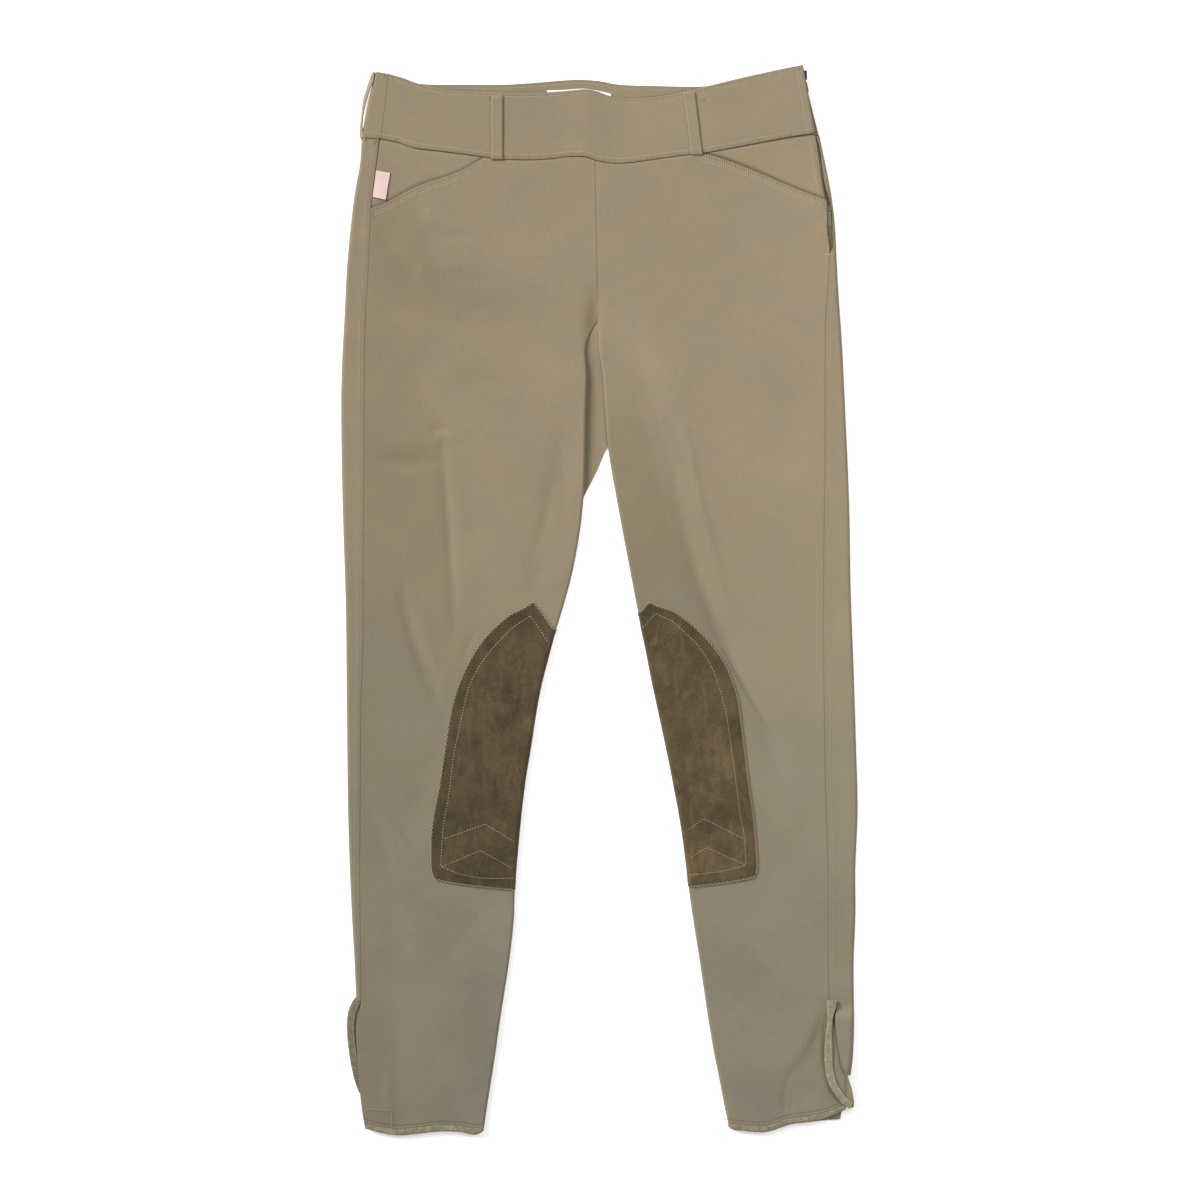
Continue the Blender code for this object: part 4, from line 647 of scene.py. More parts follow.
def front_panel(side):
    """Outer face of a front: rows from waist to hem, columns from outseam to inseam.

    x and y run between the table's side, patch and inner lines; z is the cloth's height, and the
    last columns go down a quarter circle to the inseam where the leg has one.
    """
    table = np.asarray(SECTIONS[side], float)
    y = between(table[0, 0], table[-1, 0], crowded(np.linspace(0, 1, FRONT_ROWS), 0.86))
    number = np.interp(-y, -table[:, 0], np.arange(len(table)))
    rows = rows_at(table, np.sort(np.append(number, patch_ends(table))))
    number, turn = rows["section"], np.clip(rows["turn"], 0, 1)
    rows["turn"] = turn
    inner_x = rows["inner_x"] + side * (rows["inset"] - CENTRE_EASE * (1 - turn))
    t = np.linspace(0, 1, SIDE_COLUMNS + 1)**1.25
    side_x = between(rows["side_x"] + side * SIDE_EASE, rows["patch_x"], t)
    side_y = between(rows["side_y"], rows["patch_y"], t)
    t = packed(np.linspace(0, 1, PATCH_COLUMNS + 1)[1:], 1.3)
    bow = t**(1 - 0.5 * bell(number - patch_ends(table)[1], 1.0))
    x = np.hstack((side_x, between(rows["patch_x"], inner_x + side * INSEAM_RADIUS, t)))
    y = np.hstack((side_y, between(rows["patch_y"], rows["inner_y"], bow)))
    waist = bell(number, 1.6)
    hem = bell(np.maximum(number[-1] - 1 - number, 0), 1.2)
    hem_line = line_through(HEMS[side], x) + HEM_CLEAR
    y = y + waist * (front_edge(side, x) - y[0]) + hem * (hem_line - y[-1])
    z = cloth_top(x, y)

    t = np.linspace(0, 1, TURN_COLUMNS + 1)[1:]
    flat_x = inner_x + side * INSEAM_RADIUS * (1 - t)
    edge_y = y[:, -1:] + waist * (front_edge(side, flat_x) - y[0, -1])
    angle = np.minimum(t * TURN_SPEED, 1) * np.pi / 2
    low_x = inner_x + side * INSEAM_RADIUS * (1 - np.sin(angle))
    rise = np.maximum(PATCH_UNDER * rows["patch"], HEM_UNDER * rows["hem"])
    low = CLOTH_WALL + 0.4 + SEAM + rise + HEM_ROOM * rows["hem"]
    down = np.clip((t * TURN_SPEED - 1) / (TURN_SPEED - 1), 0, 1)
    low_z = between(z[:, -1:] - INSEAM_RADIUS * (1 - np.cos(angle)), low, down)
    x = np.hstack((x, between(flat_x, low_x, turn)))
    z = np.hstack((z, between(cloth_top(flat_x, edge_y), low_z, turn)))
    return rows, points(x, np.hstack((y, edge_y)), z)


fronts = {}
for side, name in SIDES:
    flip = side < 0
    rows, grid = front_panel(side)
    out = normals(grid, flip)
    top, bottom, first, last = edge_distances(grid)
    at_pocket = ease(side * (grid[..., 0] - POCKET_END[side]), 0.0, 6.0)
    relief = seam_roll(top, 0.45) + seam_roll(first, *FLAT_SEAM)
    relief = relief + seam_roll(last, *FLAT_SEAM) * (1 - rows["turn"])
    relief = relief + at_pocket * allowance(top, first, height=0.12)
    grid = grid + out * relief[..., None]
    fronts[side] = rows, grid, out
    # The tone is painted light and shade of the folds and creases.
    tone = painted_shade_tone(grid[..., 0], grid[..., 1])
    # Painted shade in the hem's grooves.
    for groove in HEM_GROOVES:
        tone = tone * (1 - GROOVE_SHADE * bell(bottom - groove, 0.8))
    cloth = shell(f"front_{name}", grid, CLOTH_WALL, KHAKI_TWILL, flip,
                  sewn=at_pocket * (top < 12), tone=tone)
    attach(cloth, BODY)
    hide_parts(f"front_leg_{name}")


# ---------------------------------------------------------------- back leg panels
# Each back lies on the surface, rolls over the outer edge of the leg and ends at the outseam on
# top. The right back also reaches under the left one at the crotch. The outseam is topstitched on
# the back's side of the seam.

BAND_UNDER = 1.5
FLAP_ROOM = 3.2
CROTCH_LIFT = 3.6
LAY = 0.5
SLIT_Y = -380.9
# How wide a knee patch's back piece is, and the cloth beside it that has close columns too.
BACK_PATCH_WIDTH, PATCH_BESIDE = 45.0, 8.0
BACK_ROWS = 330
FLAT_COLUMNS, INNER_COLUMNS, ROLL_COLUMNS, STRIP_COLUMNS = 26, 12, 16, 10
# Rows added above the front's table, up to the waist, and where the seat's inner edge ends: y.
WAIST_ROWS = {-1: (437.0, 415.0, 394.0), 1: (438.0, 424.0, 408.0, 392.0)}
SEAT_ENDS = {-1: 96.8, 1: 149.0}
# Outer edge of each leg, where the back panel rolls over: y, x
FOLDED_EDGES = {-1: (
    (437.0, -226.6), (413.2, -228.4), (392.3, -232.3), (351.5, -237.5), (321.1, -240.3),
    (266.0, -243.2), (213.8, -245.8), (145.3, -245.9), (66.5, -244.1), (1.9, -242.0),
    (-104.5, -240.8), (-218.5, -239.2), (-299.2, -236.0), (-340.1, -233.7), (-380.9, -231.8),
), 1: (
    (441.0, 208.2), (425.6, 211.5), (394.2, 218.2), (374.3, 221.4), (351.5, 223.7),
    (329.6, 224.8), (296.4, 226.5), (242.2, 230.2), (180.5, 233.2), (97.8, 236.8),
    (1.9, 238.7), (-61.8, 241.1), (-137.8, 243.5), (-200.0, 245.0), (-258.4, 242.8),
    (-299.2, 242.9), (-340.1, 241.3), (-418.0, 241.2), (-437.0, 240.1), (-455.0, 237.5),
)}
# Edge of the back panels below the slits, where they don't roll over: y, x
LOW_EDGES = {
    -1: ((-380.9, -232.6), (-405.6, -232.4), (-430.3, -230.4), (-456.0, -225.6),
         (-478.8, -218.8), (-494.5, -219.6), (-502.5, -220.2)),
    1: ((-451.0, 232.0), (-470.0, 231.0), (-485.0, 228.4), (-492.0, 226.8)),
}
# Edge of the left back panel where it doesn't meet the front one: beside the zip and the slit.
LEFT_ZIP_EDGE = (
    (438.9, 205.2), (432.2, 207.6), (413.2, 210.7), (389.5, 215.2), (371.4, 220.4),
    (351.5, 221.7), (340.0, 221.7), (334.0, 220.8), (329.6, 218.4),
)
LEFT_SLIT_EDGE = ((-384.8, 225.1), (-398.0, 223.1), (-410.0, 224.0), (-430.3, 226.9), (-444.0, 229.8),
                  (-451.0, 233.6))
# Centre-back seam and the crotch edge that reaches under the left leg: y, x of the right panel.
CROTCH = (
    (440.0, -2.3), (256.5, -2.4), (242.2, -0.6), (213.8, 3.1), (180.5, 5.6), (148.0, 8.4),
    (138.2, 3.6), (124.5, -2.0), (112.1, -8.1), (104.5, -12.3), (97.8, -15.6),
)
BACK_HEMS = {
    -1: HEMS[-1],
    1: ((121.6, -500.5), (126.3, -503.4), (133.0, -504.1), (165.3, -503.6), (180.5, -498.6),
        (203.3, -496.0), (218.5, -494.6), (228.5, -493.9)),
}
# Fold of the back waistband at the wearer's right and its side seam: lower x, y, upper x, y.
BAND_FOLD = (-227.2, 438.9, -213.9, 501.6)
BAND_SIDE_SEAM = (-208.4, 437.9, -200.8, 499.7)
# Back waistband: lower edge x, y, upper edge x, y.
BAND_BACK = (
    (208.1, 441.0, 192.3, 504.6), (175.8, 436.0, 166.2, 499.2), (137.8, 430.3, 131.1, 493.5),
    (104.5, 427.5, 99.8, 488.6), (52.2, 427.5, 50.3, 489.0), (19.0, 429.4, 19.0, 490.2),
    (-1.9, 430.3, -0.9, 493.6), (-19.0, 431.3, -19.5, 494.9), (-38.0, 430.3, -38.0, 494.0),
    (-66.5, 428.4, -65.5, 491.7), (-95.0, 427.5, -95.0, 490.2), (-152.0, 430.3, -152.0, 490.2),
    (-171.0, 432.2, -171.0, 491.1), (-190.0, 434.1, -190.0, 494.0), (-209.0, 436.5, -201.4, 496.8),
)


def back_rows(side):
    """The front's table carried on to the waist, with the seat's own inner edge, as smooth columns."""
    table = np.asarray(SECTIONS[side], float)
    above = np.repeat(table[:1], len(WAIST_ROWS[side]), axis=0)
    above[:, 0] = above[:, 2] = WAIST_ROWS[side]
    table = np.concatenate((above, table))
    slit = SLIT_Y - 0.1 if side < 0 else LEFT_SLIT_EDGE[-1][0]
    stop = np.flatnonzero(table[:, 0] >= slit)[-1]
    last = len(table) - 1
    number = np.interp(np.linspace(-table[0, 0], -table[-1, 0], BACK_ROWS), -table[:, 0],
                       np.arange(len(table)))
    more = (stop, 0.15, 0.4, last - 0.2, last - 0.5)
    number = np.unique(np.concatenate((number, patch_ends(table), more)))
    rows = rows_at(table, number)
    y = rows["side_y"]
    crotch = CROTCH[-1][0]
    seat = y > SEAT_ENDS[side]
    seat_x = np.interp(y, *np.asarray(CROTCH[::-1]).T) + LAY * (side > 0)
    join = ease(y, crotch - 8.0, crotch + 2.0) if side < 0 else seat
    rows["inner_y"] = between(rows["inner_y"], y, join)
    rows["inner_x"] = np.where(seat, seat_x, rows["inner_x"] + side * rows["inset"])
    rows["low"] = number > stop + 1e-6
    return rows


def back_panel(side):
    """Outer face of a back: from the inseam flat under the leg, half a circle over the fold, then
    straight on to the outseam at the front cloth's height. Below the slits only the flat part is
    kept."""
    rows = back_rows(side)
    y, low = rows["side_y"], rows["low"]
    fold_x = line_through(FOLDED_EDGES[side], y)
    end_x = rows["side_x"] + side * (SIDE_EASE + 0.05)
    if side < 0:
        above_x = np.interp(y, (372.4, 437.9), (-217.8, -209.6))
        end_x = np.where(y > SECTIONS[-1][0][0], above_x, end_x)
        top = cloth_top(end_x, y)
    else:
        end_x = np.where(y > LEFT_ZIP_EDGE[-1][0] + 0.1, line_through(LEFT_ZIP_EDGE, y), end_x)
        top = cloth_top(end_x, y)
        end_x = np.where(y < SLIT_Y - 1.0, line_through(LEFT_SLIT_EDGE, y), end_x)
        raised = ease(-y, -LEFT_SLIT_EDGE[0][0], -LEFT_SLIT_EDGE[1][0])
        open_end = 0.9 * ease(-y, -LEFT_SLIT_EDGE[3][0], -LEFT_SLIT_EDGE[-1][0])
        top = between(top, LEG_TOP + FLAP_ROOM + open_end, raised)

    under = BAND_UNDER * ease(y, 385.0, 425.0) + HEM_UNDER * rows["hem"]
    radius = (top - under) / 2
    start_x = np.where(low[:, None], line_through(LOW_EDGES[side], y), fold_x - side * radius)
    beyond_x = rows["inner_x"] + side * (BACK_PATCH_WIDTH + PATCH_BESIDE)
    inner_t = np.linspace(0, 1, INNER_COLUMNS)
    t = packed(np.linspace(0, 1, FLAT_COLUMNS + 1)[1:], 1.3)
    flat_x = np.hstack((between(rows["inner_x"], beyond_x, inner_t), between(beyond_x, start_x, t)))
    flat_y = between(rows["inner_y"], y, np.hstack((0.05 * inner_t**2, 0.05 + 0.95 * t)))
    waist = np.exp(-np.maximum(y[0] - y, 0) / 25.0)
    band_line = line_through([row[:2] for row in BAND_BACK], flat_x) - EDGE_GAP
    flat_y = flat_y + waist * (band_line - flat_y[0])
    hem_line = line_through(BACK_HEMS[side], flat_x) + HEM_CLEAR
    flat_y = flat_y + rows["hem"] * (hem_line - flat_y[-1])
    lift = ease(flat_y, 200.0, 262.0) * (1 - ease(flat_y, 275.0, 330.0))
    flat_z = under + CROTCH_LIFT * lift * (1 - ease(np.abs(flat_x + 6.0), 9.0, 40.0))
    on_patch = 1 - ease(inner_t, BACK_PATCH_WIDTH / (BACK_PATCH_WIDTH + PATCH_BESIDE), 1.0)
    flat_z[:, :INNER_COLUMNS] += PATCH_UNDER * rows["patch"] * on_patch

    reach = np.abs(fold_x - end_x)
    half = np.pi * radius
    short = radius * (np.arccos(np.clip(1 - reach / radius, -1, 1)) + np.pi / 2)
    length = np.where(reach >= radius, half + reach - radius, short)
    turn_end = np.minimum(half, length - 1.2)
    roll_t = np.linspace(0, 1, ROLL_COLUMNS + 1)[1:]
    strip_t = packed(np.linspace(0, 1, STRIP_COLUMNS + 1)[1:], 1.5)
    at = np.hstack((turn_end * roll_t, between(turn_end, length, strip_t)))
    angle = np.minimum(at, half) / radius - np.pi / 2
    straight = np.maximum(at - half, 0)
    wrap_x = fold_x - side * (radius * (1 - np.cos(angle)) + straight)
    wrap_z = under + radius * (1 + np.sin(angle))
    wrap_y = np.repeat(flat_y[:, -1:], at.shape[1], axis=1)
    if side < 0:
        band_y = line_through((BAND_FOLD[:2], BAND_SIDE_SEAM[:2]), wrap_x)
        wrap_y = wrap_y + waist * (band_y - EDGE_GAP - wrap_y[0])

    grid = points(*(np.hstack(pair) for pair in ((flat_x, wrap_x), (flat_y, wrap_y), (flat_z, wrap_z))))
    keep = np.ones((len(y) - 1, grid.shape[1] - 1), bool)
    keep[low[1:], flat_x.shape[1] - 1:] = False
    return rows, grid, keep


backs = {}
for side, name in SIDES:
    flip = side < 0
    rows, grid, keep = back_panel(side)
    out = normals(grid, flip)
    top, _, _, last = edge_distances(grid)
    x, y, z = np.moveaxis(grid, -1, 0)
    on_top = ease(z, 4.0, 6.0)
    relief = seam_roll(last, 0.15, 0.7) + allowance(last, top, 7.0, 0.12) + 0.4 * ripple(x, y)
    grid = grid + out * (on_top * relief)[..., None]
    backs[side] = rows, grid
    # The seat is in shade under the crotch, where its edge shows beside the left front.
    at_crotch = bell(grid[..., 0] + 13.0, 8.0) * bell(grid[..., 1] - 180.0, 70.0)
    cloth = shell(f"back_{name}", grid, CLOTH_WALL, KHAKI_TWILL, flip, keep,
                  sewn=0.5 * on_top * (last < 8), tone=1 - 0.14 * at_crotch)
    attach(cloth, BODY)
    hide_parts(f"back_leg_{name}")


# ---------------------------------------------------------------- sewing thread
# Seams and edges are topstitched with polyester thread in the cloth's colour, about eight stitches
# to the inch. Each stitch lies in a shallow hollow and stands a little proud in its middle.

THREAD_RADIUS = 0.29
STITCH_PITCH, STITCH_LENGTH = 2.2, 1.5
STITCH_SIDES = 5


def thread_surface(name, color):
    """Spun polyester sewing thread: fine, a little glossier than the cloth."""
    material, tree, shader = new_surface(name, {
        "Base Color": linear(color), "Roughness": 0.55, "Sheen Weight": 0.2})
    here = add_node(tree, "TexCoord").outputs["Object"]
    twist = noise(tree, here, 2600.0, detail=1.0)
    tree.links.new(bump(tree, twist, 0.4, 0.0001), shader.inputs["Normal"])
    return material


KHAKI_THREAD = thread_surface("khaki polyester thread", "#A99D83")
SEAM_THREAD = thread_surface("dull khaki polyester thread", "#978B73")


def length_along(line):
    """Length along a line of points from its first one."""
    return np.append(0.0, np.cumsum(np.linalg.norm(np.diff(line, axis=0), axis=1)))


def taken_at(places, length, values):
    """Rows of values at places along a length, on straight lines between them."""
    return np.stack([np.interp(places, length, column) for column in values.T], axis=1)


def run_of_stitches(line, pitch=STITCH_PITCH, length=STITCH_LENGTH):
    """Ends of the stitches along a line of points: one of the given length at every pitch."""
    total = length_along(line)
    count = max(int(total[-1] / pitch), 1)
    start = (np.arange(count) + 0.5) * total[-1] / count - length / 2
    return taken_at(start, total, line), taken_at(start + length, total, line)


def thread(name, runs, material, radius=THREAD_RADIUS):
    """Spindles between the ends of every stitch: round rings whose radius and height follow
    1 - (2t - 1)^4, so that both ends dive into the cloth."""
    start, end = (np.concatenate(ends) for ends in zip(*runs))
    step = end - start
    side = unit(np.cross(unit(step), (0.0, 0.0, 1.0)))
    up = np.cross(side, unit(step))
    t = np.array([0.0, 0.12, 0.5, 0.88, 1.0])
    bulge = 1 - (2 * t - 1)**4
    angle = 2 * np.pi * np.arange(STITCH_SIDES) / STITCH_SIDES
    ring = radius * (0.35 + 0.65 * bulge)[:, None]
    across = ring * np.cos(angle)
    rise = ring * np.sin(angle) + (radius * (1.1 * bulge - 0.9))[:, None]
    start, step, side, up = (part[:, None, None] for part in (start, step, side, up))
    place = start + step * t[:, None, None] + side * across[..., None] + up * rise[..., None]
    index = np.arange(across.size).reshape(across.shape)
    following = np.roll(index, -1, axis=1)
    walls = np.stack((index[:-1], following[:-1], following[1:], index[1:]), axis=-1).reshape(-1, 4)
    caps = np.stack((index[0, ::-1], index[-1]))
    offset = (np.arange(len(start)) * across.size)[:, None, None]
    faces = []
    for part in (walls, caps):
        faces += (part + offset).reshape(-1, part.shape[1]).tolist()
    item = add_object(name, place.reshape(-1, 3), faces, material)
    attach(item, BODY)
    return item


def beside_edge(grid, distance, axis, end=0):
    """Points of a grid at one distance in from its first (0) or last (-1) row (axis 0) or column."""
    lines = np.moveaxis(grid, axis, 1)
    if end:
        lines = lines[:, ::-1]
    total = edge_distances(lines)[2]
    low = np.clip((total < distance).sum(axis=1) - 1, 0, lines.shape[1] - 2)
    pick = np.arange(len(lines))
    share = (distance - total[pick, low]) / (total[pick, low + 1] - total[pick, low])
    return between(lines[pick, low], lines[pick, low + 1], share[:, None])


OUTSEAM_STITCH = 4.8
OUTSEAM_TOP = {-1: 440.0, 1: 318.0}
POCKET_STITCHES = (4.75, 7.8)
runs, seam_runs = [], []
for side, _ in SIDES:
    rows, grid = backs[side]
    line = beside_edge(grid, OUTSEAM_STITCH, 1, -1)
    shown = ~rows["low"] & (line[:, 2] > 5.0)
    shown &= (line[:, 1] < OUTSEAM_TOP[side]) & (line[:, 1] > SLIT_Y + 2.0)
    seam_runs.append(run_of_stitches(line[shown]))
    grid = fronts[side][1]
    for distance in POCKET_STITCHES:
        line = beside_edge(grid, distance, 0)
        x = side * line[:, 0]
        shown = (x > side * POCKET_END[side] - 1.0) & (x < side * grid[0, 0, 0] - 3.0)
        runs.append(run_of_stitches(line[shown]))
thread("pocket_topstitching", runs, KHAKI_THREAD)
thread("leg_topstitching", seam_runs, SEAM_THREAD)


# ---------------------------------------------------------------- knee patches
# Suede patches on the inner knee, cut to a pointed arch above and square below. Each is a front
# piece and a narrow back piece that meet at the inseam, overcast round the edge and topstitched in
# cream with a border line and two chevrons.

SUEDE_WALL = 1.0
BACK_PATCH_COLUMNS = INNER_COLUMNS - 2


def suede(name, nap, dark, worn):
    """Brushed split suede: matt, soft nap that is darker where it lies the other way, rubbed paler
    on the high places and streaked where the leg bends."""
    material, tree, shader = new_surface(name, {
        "Roughness": 0.95, "Sheen Weight": 0.1, "Sheen Roughness": 0.6, "Specular IOR Level": 0.15})
    here = add_node(tree, "TexCoord").outputs["Object"]
    blotch = noise(tree, here, 30.0, detail=6.0, roughness=0.7, distortion=0.2)
    color = blend(tree, ramp(tree, blotch, 0.36, 0.66), linear(nap), linear(dark))
    tall = stretched(tree, here, (95.0, 26.0, 26.0), 0.12)
    streak = noise(tree, tall, 1.0, detail=4.0, roughness=0.65, distortion=0.8)
    color = blend(tree, ramp(tree, streak, 0.52, 0.74, high=0.6), color, linear(dark))
    color = blend(tree, ramp(tree, streak, 0.26, 0.46, 0.4, 0.0), color, linear(worn))
    scuff = noise(tree, stretched(tree, here, (210.0, 42.0, 42.0), -0.1), 1.0, detail=3.0, distortion=0.6)
    color = blend(tree, ramp(tree, scuff, 0.66, 0.73, high=0.55), color, linear(dark))

    # The nap's own tone, painted shade darker on the wearer's right and painted light paler on the left,
    # and each patch's tone.
    fibres = noise(tree, here, 420.0, detail=4.0, roughness=0.7)
    place = add_node(tree, "SeparateXYZ", {0: here}).outputs
    across = ramp(tree, place["X"], -0.12, 0.12, 0.86, 1.12)
    tone = maths(tree, "MULTIPLY", ramp(tree, fibres, 0.3, 0.7, 0.82, 1.16), across)
    tone = maths(tree, "MULTIPLY", tone, attribute_parts(tree, "cut")[1]["Z"])
    tree.links.new(blend(tree, 1.0, color, tone, "MULTIPLY"), shader.inputs["Base Color"])
    fine = bump(tree, fibres, 0.5, 0.00025)
    tree.links.new(bump(tree, streak, 0.6, 0.0012, {"Normal": fine}), shader.inputs["Normal"])
    return material


BROWN_SUEDE = suede("brown split suede", "#544631", "#3C3120", "#695A41")
CREAM_THREAD = thread_surface("cream polyester thread", "#C4B692")

# Border topstitching and chevrons of the patches by side: x, y
BORDERS = {
    -1: (((-49.6, -39.9), (-56.5, -29.0), (-66.1, -14.9)),
         ((-66.1, -14.9), (-78.0, -23.0), (-89.3, -32.3), (-108.8, -54.7), (-122.5, -77.9),
          (-129.2, -101.2), (-133.9, -124.4), (-138.7, -145.8), (-143.4, -184.3), (-148.5, -213.8),
          (-151.4, -252.7)),
         ((-151.4, -252.7), (-132.0, -260.3), (-108.8, -264.1), (-81.7, -264.1))),
    1: (((40.3, -26.6), (46.5, -19.5), (52.9, -13.0)),
        ((52.9, -13.0), (69.3, -20.9), (84.9, -35.1), (96.5, -47.5), (106.4, -64.6), (114.0, -85.5),
         (119.7, -107.3), (123.5, -132.0), (128.2, -165.3), (132.4, -198.2), (137.3, -227.0),
         (138.2, -251.8)),
        ((138.2, -251.8), (115.9, -257.4), (84.9, -261.2))),
}
CHEVRONS = {
    -1: (((-148.5, -227.0), (-108.8, -212.8), (-81.0, -229.9)),
         ((-150.6, -253.4), (-113.6, -237.9), (-83.5, -254.6))),
    1: (((83.5, -218.5), (98.5, -207.5), (136.6, -226.9)),
        ((85.9, -244.7), (101.4, -234.9), (138.0, -251.5))),
}
BORDER_WIDTH = 11.0
PATCH_CORNER, PATCH_TIP = 9.0, 5.0
EDGE_SINK = 0.35
PATCH_STITCH_PITCH, PATCH_STITCH_LENGTH = 2.8, 1.35
OVERCAST_PITCH, OVERCAST_WIDTH = 1.9, 2.1


def overcast(line, inward):
    """Zigzag along an edge: stitches that join points on the two sides of the line in turn."""
    total = length_along(line)
    at = np.arange(0.0, total[-1], OVERCAST_PITCH)
    reach = OVERCAST_WIDTH * (np.arange(len(at)) % 2 - 0.35)
    place = taken_at(at, total, line) + taken_at(at, total, inward) * reach[:, None]
    return place[:-1], place[1:]


def rounded_corner(grid, radius):
    """Rounds the last row's first corner: a square of that size, u by v, is pressed into a quarter
    disc by u sqrt(1 - v^2 / 2), v sqrt(1 - u^2 / 2)."""
    _, bottom, first, _ = edge_distances(grid)
    u, v = np.clip(1 - first / radius, 0, 1), np.clip(1 - bottom / radius, 0, 1)
    move_x = radius * u * (1 - np.sqrt(1 - v**2 / 2))
    move_y = radius * v * (1 - np.sqrt(1 - u**2 / 2))
    across, upward = unit(grid[:, 1:2] - grid[:, :1]), unit(grid[-2:-1] - grid[-1:])
    return grid + across * move_x[..., None] + upward * move_y[..., None]


cream_runs, overcast_runs = [], []
for side, name in SIDES:
    flip = side < 0
    rows, grid, out = fronts[side]
    on = np.flatnonzero(rows["patch"] > 0.99)
    patch_grid = rounded_corner(grid[on, SIDE_COLUMNS:], PATCH_CORNER)
    patch_grid = rounded_corner(patch_grid[::-1], PATCH_TIP)[::-1]
    patch_out = out[on, SIDE_COLUMNS:]
    top, bottom, first, _ = edge_distances(patch_grid)
    edge = np.minimum(np.minimum(top, bottom), first)
    lift = PATCH_UNDER - EDGE_SINK * (1 - ease(edge, 0.0, 2.2))
    beyond = np.maximum(lift - rows["inset"][on] - 0.3, 0)
    lift = lift - patch_out[..., 0]**2 * beyond
    patch_grid = patch_grid + patch_out * lift[..., None]
    patch_grid[:, -1, 2] = SUEDE_WALL + SEAM
    piece = shell(f"suede_front_{name}", patch_grid, SUEDE_WALL, BROWN_SUEDE, flip,
                  tone=0.9 + 0.12 * ease(edge, BORDER_WIDTH - 2.0, BORDER_WIDTH + 1.0))
    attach(piece, BODY)
    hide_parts(f"knee_patch_front_{name}")

    line = np.concatenate((patch_grid[0, ::-1], patch_grid[1:, 0], patch_grid[-1, 1:]))
    further_in = np.concatenate((patch_grid[1, ::-1], patch_grid[1:, 1], patch_grid[-2, 1:]))
    shown = line[:, 2] > 5.0
    overcast_runs.append(overcast(line[shown], unit(further_in - line)[shown]))
    lines = [curve_through(path, np.linspace(0, len(path) - 1, 12 * len(path)))
             for path in BORDERS[side]]
    lines += [np.linspace(path[k], path[k + 1], 24) for path in CHEVRONS[side] for k in (0, 1)]
    for line in lines:
        x, y = line.T
        cream_runs.append(run_of_stitches(points(x, y, cloth_top(x, y) + PATCH_UNDER),
                                          PATCH_STITCH_PITCH, PATCH_STITCH_LENGTH))

    rows, grid = backs[side]
    on = np.flatnonzero(rows["patch"] > 0.99)
    patch_grid = grid[on, :BACK_PATCH_COLUMNS]
    patch_grid[..., 2] = 0.0
    patch_grid[:, 0, 0] -= side * (rows["inset"][on, 0] - 0.2)
    piece = shell(f"suede_back_{name}", patch_grid, SUEDE_WALL, BROWN_SUEDE, flip)
    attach(piece, BODY)
    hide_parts(f"knee_patch_back_{name}")
thread("patch_topstitching", cream_runs, CREAM_THREAD, 0.24)
TAN_THREAD = thread_surface("tan overcast thread", "#9E9070")
thread("patch_overcasting", overcast_runs, TAN_THREAD, 0.3)


# ---------------------------------------------------------------- waistband
# A wide band of doubled twill over interfacing. The front part is open at the left end, over the
# zip; the back part rolls over the right side and meets it at a side seam. Both edges are
# topstitched.

BAND_TOP = 7.6
BAND_WALL = 2.0
BAND_STITCHES = 4.0
LOW_STITCHES = 4.9


def band_top(x):
    """Height of the front band's outer face at x."""
    return BAND_TOP + line_through([(row[0], row[4]) for row in BAND_FRONT], x)


def band_grid(stations, heights, across):
    """Straight lines between a band's lower and upper edge at every station, and how far they drop
    beside both edges: 1 - sqrt(1 - 0.9 u^2), where u goes from 0 to 1 over the last 1.2 mm."""
    low, high = stations[:, None, 0:2], stations[:, None, 2:4]
    flat = between(low, high, across[:, None])
    near = np.minimum(across, 1 - across) * np.linalg.norm(high - low, axis=-1)
    u = np.clip(1 - near / 1.2, 0, 1)
    return points(flat[..., 0], flat[..., 1], heights[:, None]), 1 - np.sqrt(1 - 0.9 * u**2)


across = crowded(np.linspace(0, 1, 40), 0.8)
at = crowded(np.linspace(0, 1, 240), 0.75) * (len(BAND_FRONT) - 1)
stations = curve_through(BAND_FRONT, at)
grid, roll = band_grid(stations, BAND_TOP + stations[:, 4], across)
top, bottom, first, last = edge_distances(grid)
x, y = grid[..., 0], grid[..., 1]
grid[..., 2] += 0.6 * ripple(x, y) - roll + seam_roll(top, *FLAT_SEAM) * (x < -190)
grid[..., 2] += seam_roll(bottom, 0.8, 1.0) + seam_roll(first, 0.4, 2.5)
grid[..., 2] -= 0.2 * (bell(last - BAND_STITCHES, 1.1) + bell(first - LOW_STITCHES, 1.1))
grid[..., 2] += 0.07 * np.sin(2 * np.pi * top / 10.5) * (bell(last, 7) + bell(first, 7))
beside = np.minimum(first, last) < np.minimum(top, bottom)
band = shell("band_front", grid, BAND_WALL, KHAKI_TWILL, flip=True, sewn=0.6 * beside)
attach(band, BODY)
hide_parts("waistband_front")
band_runs = [run_of_stitches(beside_edge(grid, distance, 1, end))
             for distance, end in ((BAND_STITCHES, -1), (LOW_STITCHES, 0))]
end_line = beside_edge(grid, 7.2, 0, -1)[3:-3]
band_runs.append(run_of_stitches(end_line))

